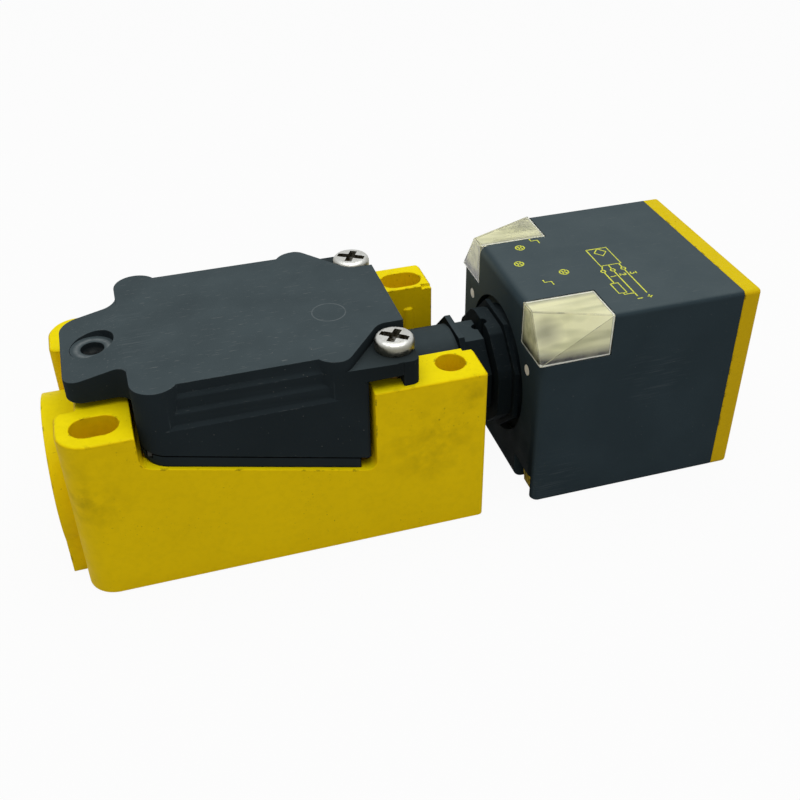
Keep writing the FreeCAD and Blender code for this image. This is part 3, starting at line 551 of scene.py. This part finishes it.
def grown(name, data, tree, given):
    """The plain mesh that a tree makes of some data with the given inputs."""
    made = added(name, data)
    modifier = made.modifiers.new(tree.name, "NODES")
    modifier.node_group = tree
    for item in tree.interface.items_tree:
        if item.item_type == "SOCKET" and item.in_out == "INPUT" and item.name in given:
            modifier[item.identifier] = given[item.name]
    mesh = evaluated(made)
    bpy.data.objects.remove(made)
    return mesh


# Settings a user would change

# What all colour settings share
tone = {"subtype": "COLOR", "size": 3, "min": 0, "max": 1}


class SensorLooks(bpy.types.PropertyGroup):
    """Colours and small sizes of the dressed sensor."""

    yellow: FloatVectorProperty(
        name="Yellow", description="Colour of the base on its sides", default=linear("#EECB06"), **tone)
    # Painted light: the colour that the base's faces turned up take, as lit from above
    yellow_lit_top: FloatVectorProperty(
        name="Yellow on top", description="Colour of the base on faces turned up",
        default=linear("#DECB05"), **tone)
    cap: FloatVectorProperty(
        name="Cap", description="Colour of the front cap on its sides", default=linear("#D2AE0C"), **tone)
    # Painted light: the colour that the cap's faces turned up take, as lit from above
    cap_lit_top: FloatVectorProperty(
        name="Cap on top", description="Colour of the front cap on faces turned up",
        default=linear("#C8B10E"), **tone)
    cover: FloatVectorProperty(
        name="Cover", description="Colour of the terminal cover and its plate",
        default=linear("#22292C"), **tone)
    head: FloatVectorProperty(
        name="Head", description="Colour of the head's housing", default=linear("#2D383D"), **tone)
    black: FloatVectorProperty(
        name="Black", description="Colour of the neck and the collar", default=linear("#12181B"), **tone)
    # Dusty grey together with a painted sheen, on dark faces turned up
    dust_and_sheen: FloatVectorProperty(
        name="Dust", description="Colour of the dust on dark faces turned up",
        default=linear("#444E51"), **tone)
    cream: FloatVectorProperty(
        name="Cream", description="Colour of the frosted faces inside the lenses",
        default=linear("#F0EFCB"), **tone)
    ink: FloatVectorProperty(
        name="Ink", description="Colour of the print on the head", default=linear("#CCD038"), **tone)
    edge: FloatProperty(
        name="Edge", description="Rounding of the moulded edges", unit="LENGTH", min=0.0, default=0.2 * mm)
    thread_pitch: FloatProperty(
        name="Thread pitch", description="Pitch of the cable entry's thread",
        unit="LENGTH", min=0.5 * mm, default=1.5 * mm)
    thread_depth: FloatProperty(
        name="Thread depth", description="Depth of the cable entry's thread",
        unit="LENGTH", min=0.0, default=0.68 * mm)
    recess: FloatProperty(
        name="Recess width", description="Width of the cross recess of the screws",
        unit="LENGTH", min=0.0, default=1.15 * mm)
    line: FloatProperty(
        name="Line width", description="Width of the printed lines",
        unit="LENGTH", min=0.0, default=0.24 * mm)


class StageLooks(bpy.types.PropertyGroup):
    """Floor, light and camera."""

    ambient: FloatProperty(
        name="Ambient", description="Light that comes evenly from all sides", min=0, default=0.42)
    key_power: FloatProperty(
        name="Key power", description="Power of the soft light overhead", unit="POWER", min=0, default=3.1)
    key_size: FloatProperty(
        name="Key size", description="Side of the soft light overhead", unit="LENGTH", min=0.01, default=0.6)
    floor_size: FloatProperty(
        name="Floor size", description="Side of the floor", unit="LENGTH", min=0.5, default=4.0)
    camera_place: FloatVectorProperty(
        name="Camera place", description="Where the camera stands", subtype="TRANSLATION", unit="LENGTH",
        size=3, default=(-19.967 * mm, -156.554 * mm, 133.688 * mm))
    azimuth: FloatProperty(
        name="Azimuth", description="Turn of the camera about the vertical",
        subtype="ANGLE", default=math.radians(-16.0953))
    elevation: FloatProperty(
        name="Elevation", description="How far the camera looks down",
        subtype="ANGLE", default=math.radians(36.0778))
    roll: FloatProperty(
        name="Roll", description="Tilt of the picture", subtype="ANGLE", default=math.radians(-0.9052))
    lens: FloatProperty(
        name="Lens", description="Focal length on a sensor 36 mm wide", unit="CAMERA", min=1, default=47.266)


# Pieces of the base

def thread_tool(looks, finish):
    """A coil of diamond section along the cable entry, half of it in the wall."""
    tree, given = open_tree("entry_thread", ["Radius", "Pitch", "Depth", "Turns"])
    rise = node(tree, "ShaderNodeMath", {0: given["Pitch"], 1: given["Turns"]}, operation="MULTIPLY")
    path = node(tree, "GeometryNodeCurveSpiral", {
        "Resolution": 48, "Rotations": given["Turns"], "Start Radius": given["Radius"],
        "End Radius": given["Radius"], "Height": rise.outputs[0]})
    section = node(tree, "GeometryNodeCurvePrimitiveCircle", {"Resolution": 4, "Radius": given["Depth"]})
    swept = node(tree, "GeometryNodeCurveToMesh", {
        "Curve": path.outputs["Curve"], "Profile Curve": section.outputs["Curve"], "Fill Caps": True})
    close_tree(tree, swept.outputs["Mesh"], finish)
    entry = [m for m in frame["record"]["mounts"] if m["name"] == "cable_entry"][0]
    mesh = grown("entry_thread_tool", bpy.data.meshes.new("entry_thread_tool"), tree, {
        "Radius": entry["dims"]["r_mm"] * mm, "Pitch": looks.thread_pitch, "Depth": looks.thread_depth,
        "Turns": thread_length * mm / looks.thread_pitch})
    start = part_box("mounting_base")[0].x + thread_start * mm
    middle = Vector(entry["pos_m"])
    mesh.transform(Matrix.Translation((start, middle.y, middle.z)) @ Matrix.Rotation(math.pi / 2, 4, "Y"))
    return mesh


class SENSOR_OT_mounting_base(bpy.types.Operator):
    """Dress the yellow base and cut the thread of its cable entry"""

    bl_idname = "sensor.mounting_base"
    bl_label = "Mounting base"

    def execute(self, context):
        looks = context.scene.sensor_looks
        smudges = (((-34.0, -20.2, 21.0), 9.0, 0.4), ((25.0, -20.2, 20.0), 11.0, 0.4),
                   ((-31.0, -15.0, 32.4), 8.0, 0.2), ((33.0, -20.2, 29.0), 5.0, 0.4))
        finish = yellow_moulding("polyamide_yellow_moulded", looks.yellow, looks.yellow_lit_top, smudges)
        base = dressed("yellow_base", "mounting_base", "base", "yellow_plastic", finish,
                       base_edge_share * looks.edge / mm, base_turn, base_turn)
        cut_away(base, thread_tool(looks, finish))
        return {"FINISHED"}


class SENSOR_OT_terminal_plate(bpy.types.Operator):
    """Dress the black plate between the base and the cover"""

    bl_idname = "sensor.terminal_plate"
    bl_label = "Terminal plate"

    def execute(self, context):
        looks = context.scene.sensor_looks
        finish = dark_moulding(looks, "polyamide_black_plate", looks.cover, dust_and_sheen=0.2, wear=0.3)
        # The same polyamide in the joint round the plate: shade and dirt make it a black line
        seam = plain_finish("polyamide_black_seam", "#020303", "#060707", 1.0, 0.8,
                            {"Specular IOR Level": 0.015})
        dressed("black_terminal_plate", "terminal_plate", "base", "black_plastic", finish, plate_edge,
                split=True, seam=seam)
        return {"FINISHED"}


def far_seat():
    """Middle of the seat under the far cover screw's head, in mm."""
    low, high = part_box("cover_screws")
    radius = (high.x - low.x) / 2
    return (low.x + high.x) / 2 / mm, (high.y - radius) / mm, high.z / mm - head_height


class SENSOR_OT_terminal_cover(bpy.types.Operator):
    """Dress the dark screwed-on cover"""

    bl_idname = "sensor.terminal_cover"
    bl_label = "Terminal cover"

    def execute(self, context):
        looks = context.scene.sensor_looks
        x, y, seat = far_seat()
        rings = (((11.5, -4.0, 39.5), 2.9, 0.16, 0.28), ((-28.4, 0.0, 37.5), 2.7, 0.6, 0.4))
        scuffs = (((-21.5, -3.0, 39.5), 5.0, 0.22), ((-23.0, 6.0, 39.5), 4.0, 0.22))
        # Painted shade in the sunk pockets round the two screws
        sunk_shade = [((x, side * y, seat), 14.0) for side in (-1, 1)]
        finish = dark_moulding(looks, "polyamide_dark_cover", looks.cover, dust_and_sheen=0.77, wear=1.0,
                               rings=rings, scuffs=scuffs, sunk_shade=sunk_shade)
        dressed("dark_terminal_cover", "terminal_cover", "base", "cover_plastic", finish, looks.edge / mm,
                cover_turn)
        return {"FINISHED"}


def ring(radius, sides):
    """Places round a circle, the first again at its end."""
    turns = [2 * math.pi * k / sides for k in range(sides + 1)]
    return [(radius * math.cos(a), radius * math.sin(a)) for a in turns]


def lathe(profile, sides):
    """A closed shell turned from (radius, height) pairs in mm, from foot to top on the axis."""
    shell = bmesh.new()
    turns = ring(1.0, sides)[:-1]
    rings = []
    for r, z in profile:
        if r == 0:
            rings.append([shell.verts.new((0, 0, z * mm))] * sides)
        else:
            rings.append([shell.verts.new((r * mm * c, r * mm * s, z * mm)) for c, s in turns])
    for under, over in zip(rings, rings[1:]):
        for k in range(sides):
            corners = [under[k - 1], under[k], over[k], over[k - 1]]
            shell.faces.new(list(dict.fromkeys(corners)))
    bmesh.ops.recalc_face_normals(shell, faces=shell.faces)
    return shell


def box_mesh(size, place):
    """A plain box to cut with, its size and place in mm."""
    shell = bmesh.new()
    bmesh.ops.create_cube(shell, size=1.0)
    grow = Matrix.Diagonal([s * mm for s in size] + [1.0])
    bmesh.ops.transform(shell, matrix=Matrix.Translation(Vector(place) * mm) @ grow, verts=shell.verts)
    return plain_mesh(shell, "cutter")


def screw_master(looks, steel):
    """One cover screw on the axis, with its recess cut and marked in the attribute `recess`."""
    low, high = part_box("cover_screws")
    radius = (high.x - low.x) / 2 / mm
    foot, top = low.z / mm, high.z / mm
    seat = top - head_height
    profile = [(0, foot), (tip_radius, foot), (shank_radius, foot + tip_height), (shank_radius, seat),
               (radius - head_under[0], seat), (radius, seat + head_under[1])]
    profile += [(radius - inwards, top - down) for inwards, down in head_dome] + [(0, top)]
    shell = lathe(profile, screw_sides)
    master = added("screw_master", smooth_mesh(shell, "screw_master", [steel], screw_shaded_turn))
    width = looks.recess / mm
    slot = (slot_reach * radius, width)
    arm = (cross_reach * radius, cross_width * width)
    for size, depth in ((slot, slot_depth), (arm, cross_depth), (arm[::-1], cross_depth)):
        middle = top - depth + cutter_height / 2
        cut_away(master, box_mesh((*size, cutter_height), (0, 0, middle)))
    recess = master.data.attributes.new("recess", "FLOAT", "FACE")
    for face, value in zip(master.data.polygons, recess.data):
        within = face.center.xy.length < (radius - recess_margin) * mm
        sunk = seat * mm < face.center.z < (top - recess_margin) * mm
        value.value = 1.0 if within and sunk else 0.0
    return master


def screw_places():
    """Points for the near and the far screw, with their turns in the attribute `turn`."""
    x, y = far_seat()[:2]
    places = bpy.data.meshes.new("screw_places")
    places.from_pydata([(x * mm, side * y * mm, 0) for side in (-1, 1)], [], [])
    turns = places.attributes.new("turn", "FLOAT", "POINT")
    for value, turn in zip(turns.data, screw_turns):
        value.value = math.radians(turn)
    return places


class SENSOR_OT_cover_screws(bpy.types.Operator):
    """Make the cover screws with their cross recess"""

    bl_idname = "sensor.cover_screws"
    bl_label = "Cover screws"

    def execute(self, context):
        steel = nickel_steel()
        master = screw_master(context.scene.sensor_looks, steel)
        tree, given = open_tree("screw_pattern", ["Screw"], "NodeSocketObject")
        screw = node(tree, "GeometryNodeObjectInfo", {"Object": given["Screw"]})
        angle = node(tree, "GeometryNodeInputNamedAttribute", {"Name": "turn"}, data_type="FLOAT")
        turned = node(tree, "ShaderNodeCombineXYZ", {"Z": angle.outputs["Attribute"]})
        placed = node(tree, "GeometryNodeInstanceOnPoints", {
            "Points": given["Geometry"], "Instance": screw.outputs["Geometry"],
            "Rotation": turned.outputs["Vector"]})
        close_tree(tree, placed.outputs["Instances"], steel)
        mesh = grown("cover_screw_pair", screw_places(), tree, {"Screw": master})
        bpy.data.objects.remove(master)
        piece("cover_screw_pair", mesh, "base", "screw_steel", "cover_screws")
        return {"FINISHED"}


# Neck and head

class SENSOR_OT_neck(bpy.types.Operator):
    """Dress the sliding neck"""

    bl_idname = "sensor.neck"
    bl_label = "Neck"

    def execute(self, context):
        looks = context.scene.sensor_looks
        finish = dark_moulding(looks, "polyamide_black_neck", looks.black, dust_and_sheen=0.6, wear=0.5)
        dressed("black_neck", "neck_spigot", "neck", "black_plastic", finish, looks.edge / mm)
        return {"FINISHED"}


class SENSOR_OT_collar(bpy.types.Operator):
    """Dress the turning collar and its plate"""

    bl_idname = "sensor.collar"
    bl_label = "Collar"

    def execute(self, context):
        looks = context.scene.sensor_looks
        finish = dark_moulding(looks, "polyamide_black_collar", looks.black, dust_and_sheen=0.2, wear=0.5)
        dressed("black_collar", "head_collar", "head", "black_plastic", finish, looks.edge / mm, split=True)
        dressed("black_collar_plate", "collar_plate", "head", "black_plastic", finish, fine_edge, split=True)
        return {"FINISHED"}


class SENSOR_OT_head_housing(bpy.types.Operator):
    """Dress the black housing of the head"""

    bl_idname = "sensor.head_housing"
    bl_label = "Head housing"

    def execute(self, context):
        looks = context.scene.sensor_looks
        scuffs = (((68.0, -19.7, 25.0), 8.0, 0.12), ((49.0, -19.7, 5.0), 8.0, 0.12))
        # Painted shade, near black, low on the rear wall, and painted light, grey-green, high on it
        rear_light_and_shade = (((44.7, -15.0, 2.0), 34.0, 1.0, "#030606"), ((44.7, 14.0, 36.0), 20.0, 0.7, "#5C645E"))
        finish = dark_moulding(looks, "polyamide_black_head", looks.head, dust_and_sheen=1.0, wear=0.5,
                               scuffs=scuffs, rear_light_and_shade=rear_light_and_shade)
        dressed("black_head_housing", "head_housing", "head", "black_plastic", finish, fine_edge, split=True)
        return {"FINISHED"}


class SENSOR_OT_filler_plugs(bpy.types.Operator):
    """Dress the pale plugs in the rear of the head"""

    bl_idname = "sensor.filler_plugs"
    bl_label = "Filler plugs"

    def execute(self, context):
        # Cast filler: chalky white with a soft gloss
        finish = plain_finish("filler_white_cast", "#E4E2DA", "#C8C4B4", 0.8, 0.5)
        dressed("white_filler_plugs", "filler_plugs", "head", "pale_plastic", finish, plug_edge)
        return {"FINISHED"}


class SENSOR_OT_light_guides(bpy.types.Operator):
    """Make the light guides, which reach back and down in their notches"""

    bl_idname = "sensor.light_guides"
    bl_label = "Light guides"

    def execute(self, context):
        # Amber polycarbonate, with the dark head seen through it painted in: olive and ochre patches
        finish = plain_finish("polycarbonate_amber_guide", "#A8902A", "#3E3A12", 0.9, 0.6,
                              {"Specular IOR Level": 0.01, "IOR": 1.58})
        shell = clean_shell("light_guides")
        low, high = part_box("light_guides")
        middle = (low + high) / 2
        for vert in shell.verts:
            below = vert.co.z < middle.z
            if vert.co.x < middle.x:
                vert.co.x -= guide_reach[below] * mm
            if below:
                vert.co.z -= guide_drop * mm
        break_edges(shell, hard_edges(shell), fine_edge)
        mesh = smooth_mesh(shell, "amber_light_guides", [finish])
        piece("amber_light_guides", mesh, "head", "clear_plastic", "light_guides")
        return {"FINISHED"}


def hull_shell(name, inset):
    """The outer faces of a CAD piece that has no hollow outside, each moved in by `inset` mm."""
    shell = clean_shell(name)
    whole = bmesh.ops.convex_hull(shell, input=shell.verts)
    within = [e for e in whole["geom_interior"] if isinstance(e, bmesh.types.BMVert)]
    bmesh.ops.delete(shell, geom=within, context="VERTS")
    join_flat(shell)
    bmesh.ops.recalc_face_normals(shell, faces=shell.faces)
    shell.normal_update()
    moves = [v.normal * v.calc_shell_factor() * inset * mm for v in shell.verts]
    for vert, move in zip(shell.verts, moves):
        vert.co -= move
    return shell


def lens_shell(name, inwards):
    """A lens's outer faces, with the rim of its seats broken; `inwards` is 1 or -1 along Y."""
    shell = hull_shell(name, 0.0)
    seated = {f for f in shell.faces if max(f.normal.x, inwards * f.normal.y, -f.normal.z) > 0.9}
    break_edges(shell, [e for e in shell.edges if len(seated.intersection(e.link_faces)) == 1], fine_edge)
    return shell


def core_shell(name, inwards):
    """A lens's core in the second finish, out to the seats of the lens, with its creases in the third."""
    shell = hull_shell(name, lens_wall)
    low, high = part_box(name)
    seats = (high.x, high.y if inwards > 0 else low.y, low.z)
    for vert in shell.verts:
        for axis, seat in enumerate(seats):
            if abs(vert.co[axis] - seat) < 1.1 * lens_wall * mm:
                vert.co[axis] = seat + math.copysign(lens_seat * mm, vert.co[axis] - seat)
    for face in shell.faces:
        face.material_index = 1
    break_edges(shell, hard_edges(shell, crease_turn), crease_edge, segments=1, finish=2)
    return shell


class SENSOR_OT_corner_lenses(bpy.types.Operator):
    """Make the clear corner lenses: glossy outside, with a frosted cream core"""

    bl_idname = "sensor.corner_lenses"
    bl_label = "Corner lenses"

    def execute(self, context):
        finishes = [clear_moulding(), frosted_core(context.scene.sensor_looks)]
        # The same polycarbonate along the core's creases: painted shade, in lines that fade from olive to
        # cream
        finishes.append(plain_finish("polycarbonate_cream_crease", "#4A4832", "#D6D2A6", 2.0, 0.55))
        for side, inwards in (("near", 1), ("far", -1)):
            source = "corner_lens_" + side
            shell = lens_shell(source, inwards)
            shell.from_mesh(plain_mesh(core_shell(source, inwards), "core_" + side))
            mesh = smooth_mesh(shell, "clear_lens_" + side, finishes)
            flattened(piece("clear_lens_" + side, mesh, "head", "clear_plastic", source))
        return {"FINISHED"}


class SENSOR_OT_front_cap(bpy.types.Operator):
    """Dress the yellow cap over the sensing face"""

    bl_idname = "sensor.front_cap"
    bl_label = "Front cap"

    def execute(self, context):
        looks = context.scene.sensor_looks
        finish = yellow_moulding("polyamide_yellow_cap", looks.cap, looks.cap_lit_top)
        dressed("yellow_front_cap", "active_face_cap", "head", "yellow_plastic", finish, cap_edge)
        return {"FINISHED"}


# Print on the head: strokes are lists of (right, up) places in mm, where right is -Y and up is +X

# The wiring diagram: the sensor's box, its load's box, its diamond, the wires through its three terminals,
# those to the load and the supply, and the signs of the poles
diagram_lines = (
    ((-3.0, 63.0), (3.4, 63.0), (3.4, 67.1), (-3.0, 67.1), (-3.0, 63.0)),
    ((9.9, 61.8), (13.4, 61.8), (13.4, 63.3), (9.9, 63.3), (9.9, 61.8)),
    ((-2.9, 65.2), (-1.5, 66.4), (-0.1, 65.2), (-1.5, 64.0), (-2.9, 65.2)),
    ((3.4, 63.3), (4.93, 62.6)), ((5.77, 62.6), (9.9, 62.6)),
    ((3.4, 64.5), (4.93, 64.5)), ((5.77, 64.5), (9.9, 64.5)),
    ((3.4, 66.6), (4.93, 66.6)), ((5.77, 66.6), (9.9, 66.6)),
    ((13.4, 62.6), (14.0, 62.6), (14.0, 64.5)), ((9.9, 64.5), (15.2, 64.5)), ((9.9, 66.6), (14.6, 66.6)),
    ((16.0, 64.1), (16.0, 65.1)), ((15.3, 66.6), (16.3, 66.6)), ((15.8, 66.1), (15.8, 67.1)),
)
terminal_places = ((5.35, 62.6), (5.35, 64.5), (5.35, 66.6))
terminal_radius = 0.42
circle_sides = 14

# The digits 1, 2 and 3 in a box 0.8 by 1.3 mm, their printed share of it, and their places
digits = (
    ((0.2, 1.0), (0.45, 1.3), (0.45, 0.0)),
    ((0.0, 1.0), (0.2, 1.3), (0.6, 1.3), (0.8, 1.0), (0.7, 0.7), (0.0, 0.0), (0.8, 0.0)),
    ((0.0, 1.3), (0.8, 1.3), (0.35, 0.75), (0.65, 0.7), (0.8, 0.4), (0.6, 0.05), (0.3, 0.0), (0.0, 0.2)),
)
digit_scale = 0.85
digit_places = ((7.2, 63.02), (7.0, 64.99), (7.0, 67.05))

# The sign for a switching step, and the circle and cross that is the sign for a lamp
pulse = ((0.0, 0.0), (0.9, 0.0), (0.9, 1.3), (2.1, 1.3))
pulse_places = ((-10.6, 54.6), (4.9, 50.9))
lamp_radius = 0.85
lamp_arm = 0.595
lamp_places = ((-7.8, 51.6), (-2.0, 49.1), (3.3, 55.75))


def stroke_at(place, shape, scale=1.0):
    """A shape as a stroke at a place."""
    return [(place[0] + scale * r, place[1] + scale * u) for r, u in shape]


def print_strokes():
    """All strokes of the print: a plain wiring diagram, and the signs for switching steps and lamps."""
    strokes = list(diagram_lines)
    strokes += [stroke_at(place, ring(terminal_radius, circle_sides)) for place in terminal_places]
    strokes += [stroke_at(place, shape, digit_scale) for place, shape in zip(digit_places, digits)]
    strokes += [stroke_at(place, pulse) for place in pulse_places]
    rising = ((-lamp_arm, -lamp_arm), (lamp_arm, lamp_arm))
    falling = ((-lamp_arm, lamp_arm), (lamp_arm, -lamp_arm))
    lamp = (ring(lamp_radius, circle_sides), rising, falling)
    strokes += [stroke_at(place, shape) for place in lamp_places for shape in lamp]
    return strokes


def stroke_curve(strokes, height):
    """A curve of straight strokes on the head, at a height in metres."""
    curve = bpy.data.curves.new("print_strokes", "CURVE")
    curve.dimensions = "3D"
    for stroke in strokes:
        line = curve.splines.new("POLY")
        line.points.add(len(stroke) - 1)
        for point, (r, u) in zip(line.points, stroke):
            point.co = (u * mm, -r * mm, height, 1.0)
    return curve


class SENSOR_OT_head_print(bpy.types.Operator):
    """Print the switching signs and the wiring diagram on the head"""

    bl_idname = "sensor.head_print"
    bl_label = "Head print"

    def execute(self, context):
        looks = context.scene.sensor_looks
        tree, given = open_tree("print_lines", ["Width", "Thickness"])
        upright = node(tree, "GeometryNodeSetCurveNormal", {"Curve": given["Geometry"]}, mode="Z_UP")
        section = node(tree, "GeometryNodeCurvePrimitiveQuadrilateral", {
            "Width": given["Width"], "Height": given["Thickness"]})
        swept = node(tree, "GeometryNodeCurveToMesh", {
            "Curve": upright.outputs["Curve"], "Profile Curve": section.outputs["Curve"], "Fill Caps": True})
        close_tree(tree, swept.outputs["Mesh"], print_ink(looks))
        curve = stroke_curve(print_strokes(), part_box("head_housing")[1].z)
        mesh = grown("head_print", curve, tree, {"Width": looks.line, "Thickness": print_thickness * mm})
        piece("head_print", mesh, "head", "yellow_plastic")
        return {"FINISHED"}


class SENSOR_OT_inner_pieces(bpy.types.Operator):
    """Give the pieces inside their finishes"""

    bl_idname = "sensor.inner_pieces"
    bl_label = "Inner pieces"

    def execute(self, context):
        metal = {"Metallic": 1.0}
        steel = bpy.data.materials["steel_nickel_plated"]
        # Turned brass: warm yellow metal with a soft gloss
        brass = plain_finish("brass_turned", "#C8A050", "#B08A40", 1.2, 0.3, metal)
        # Moulded rubber: dull black
        rubber = plain_finish("nitrile_rubber_moulded", "#1C1C1C", "#262626", 0.8, 0.75)
        finishes = {
            "plate_screws": steel, "terminal_screws": steel, "collar_screws": steel, "neck_retainer": steel,
            "stem_clip": steel, "terminal_block": bpy.data.materials["polyamide_black_plate"],
            "threaded_inserts": brass, "terminal_clamps": brass, "shield_ring": brass,
            "lead_ferrules": brass, "cover_seal": rubber, "neck_o_ring": rubber,
            # Moulded polyester: chalky white
            "coil_former": plain_finish("polyester_white_moulded", "#DAD8D0", "#C8C6BC", 1.5, 0.5),
            # Extruded insulation: brown, waxy gloss
            "head_leads": plain_finish("pvc_brown_extruded", "#6A4A30", "#5A3E28", 1.5, 0.45),
            # Cast epoxy: glossy amber
            "indicator_lamps": plain_finish("epoxy_amber_cast", "#E0B030", "#C89820", 1.0, 0.2),
            # Lacquered glass laminate: green, some gloss
            "circuit_board": plain_finish("glass_laminate_green", "#1F5A34", "#18492A", 1.0, 0.4),
            # Moulded epoxy: matt black
            "board_parts": plain_finish("epoxy_black_moulded", "#222222", "#2C2C2C", 0.6, 0.5),
            # Cast resin: dark brown, smooth where it set
            "resin_block": plain_finish("polyurethane_dark_cast", "#2C2620", "#221E1A", 4.0, 0.3),
            # Sintered ferrite: dull dark grey
            "ferrite_core": plain_finish("ferrite_sintered", "#3A3A3C", "#2E2E30", 0.5, 0.6),
            # Enamelled wire: copper red under a clear coat
            "sensing_coil": plain_finish("copper_wire_enamelled", "#B8682C", "#A05820", 0.3, 0.3, metal),
        }
        for name, finish in finishes.items():
            frame["nodes"][name].data.materials.clear()
            frame["nodes"][name].data.materials.append(finish)
        return {"FINISHED"}


# Stage

def seen_by_eye(tree):
    """1 for rays from the camera, and for those that a gloss or a clear piece sends on."""
    path = node(tree, "ShaderNodeLightPath").outputs
    seen = path["Is Camera Ray"]
    for ray in ("Is Glossy Ray", "Is Transmission Ray"):
        seen = node(tree, "ShaderNodeMath", {0: seen, 1: path[ray]}, operation="MAXIMUM").outputs[0]
    return seen


def floor_paper():
    """White studio paper: matt, and bright enough to the eye to read as white, with the shadow kept."""
    made = bpy.data.materials.new("paper_white_matt")
    tree = bare_tree(made)
    matt = node(tree, "ShaderNodeBsdfDiffuse", {"Color": opaque("#B4B4B4")}).outputs["BSDF"]
    glow = node(tree, "ShaderNodeEmission", {"Color": opaque("#FFFFFF")}).outputs["Emission"]
    share = node(tree, "ShaderNodeMath", {0: seen_by_eye(tree), 1: paper_glow}, operation="MULTIPLY")
    both = node(tree, "ShaderNodeMixShader", {0: share.outputs[0], 1: matt, 2: glow}).outputs["Shader"]
    node(tree, "ShaderNodeOutputMaterial", {"Surface": both})
    return made


def studio_floor(stage):
    """The sheet of paper that the object stands on."""
    shell = bmesh.new()
    bmesh.ops.create_grid(shell, x_segments=1, y_segments=1, size=stage.floor_size / 2)
    bmesh.ops.translate(shell, vec=(0, 0, cad_box[0][2] - floor_gap * mm), verts=shell.verts)
    mesh = plain_mesh(shell, "studio_floor")
    mesh.materials.append(floor_paper())
    return added("studio_floor", mesh)


def studio_air(stage):
    """A world that lights evenly, and that is white to the eye."""
    world = bpy.data.worlds.new("studio_air")
    tree = bare_tree(world)
    span = 1.0 - stage.ambient
    extra = node(tree, "ShaderNodeMath", {0: seen_by_eye(tree), 1: span}, operation="MULTIPLY")
    whole = node(tree, "ShaderNodeMath", {0: extra.outputs[0], 1: stage.ambient}, operation="ADD")
    air = node(tree, "ShaderNodeBackground", {"Color": opaque("#FFFFFF"), "Strength": whole.outputs[0]})
    node(tree, "ShaderNodeOutputWorld", {"Surface": air.outputs["Background"]})
    return world


def overhead_softbox(stage):
    """A wide soft light over the object."""
    key = bpy.data.lights.new("overhead_softbox", "AREA")
    key.energy = stage.key_power
    key.size = stage.key_size
    lamp = added("overhead_softbox", key)
    lamp.location = light_place
    lamp.rotation_euler = (light_aim - light_place).to_track_quat("-Z", "Y").to_euler()


def photo_camera(stage):
    """A camera at the photograph's view."""
    eye = bpy.data.cameras.new("photo_camera")
    eye.sensor_width = 36.0
    eye.lens = stage.lens
    eye.clip_start = 0.005
    camera = added("photo_camera", eye)
    tilt = Matrix.Rotation(math.pi / 2 - stage.elevation, 3, "X")
    turn = Matrix.Rotation(stage.azimuth, 3, "Z") @ tilt @ Matrix.Rotation(stage.roll, 3, "Z")
    camera.location = stage.camera_place
    camera.rotation_euler = turn.to_euler()
    return camera


class SENSOR_OT_stage(bpy.types.Operator):
    """Set the floor, the soft light and the camera"""

    bl_idname = "sensor.stage"
    bl_label = "Stage"

    def execute(self, context):
        scene = context.scene
        studio_floor(scene.sensor_stage)
        scene.world = studio_air(scene.sensor_stage)
        overhead_softbox(scene.sensor_stage)
        scene.camera = photo_camera(scene.sensor_stage)
        scene.view_settings.view_transform = "Standard"
        return {"FINISHED"}


class SENSOR_PT_panel(bpy.types.Panel):
    """Lists the settings and the steps that dress the sensor"""

    bl_idname = "SENSOR_PT_panel"
    bl_label = "Proximity sensor"
    bl_space_type = "VIEW_3D"
    bl_region_type = "UI"
    bl_category = "Sensor"

    def draw(self, context):
        for group in (context.scene.sensor_looks, context.scene.sensor_stage):
            for name in group.__annotations__:
                self.layout.prop(group, name)
        for step in steps:
            self.layout.operator(step.bl_idname)


steps = (
    SENSOR_OT_mounting_base, SENSOR_OT_terminal_plate, SENSOR_OT_terminal_cover, SENSOR_OT_cover_screws,
    SENSOR_OT_neck, SENSOR_OT_collar, SENSOR_OT_head_housing, SENSOR_OT_filler_plugs,
    SENSOR_OT_light_guides, SENSOR_OT_corner_lenses, SENSOR_OT_front_cap, SENSOR_OT_head_print,
    SENSOR_OT_inner_pieces, SENSOR_OT_stage,
)
classes = (SensorLooks, StageLooks) + steps + (SENSOR_PT_panel,)


def register():
    for each in classes:
        bpy.utils.register_class(each)
    bpy.types.Scene.sensor_looks = PointerProperty(type=SensorLooks)
    bpy.types.Scene.sensor_stage = PointerProperty(type=StageLooks)


def unregister():
    del bpy.types.Scene.sensor_stage
    del bpy.types.Scene.sensor_looks
    for each in reversed(classes):
        bpy.utils.unregister_class(each)


def main():
    register()
    for step in steps:
        group, name = step.bl_idname.split(".")
        getattr(getattr(bpy.ops, group), name)()


if __name__ == "__main__":
    main()
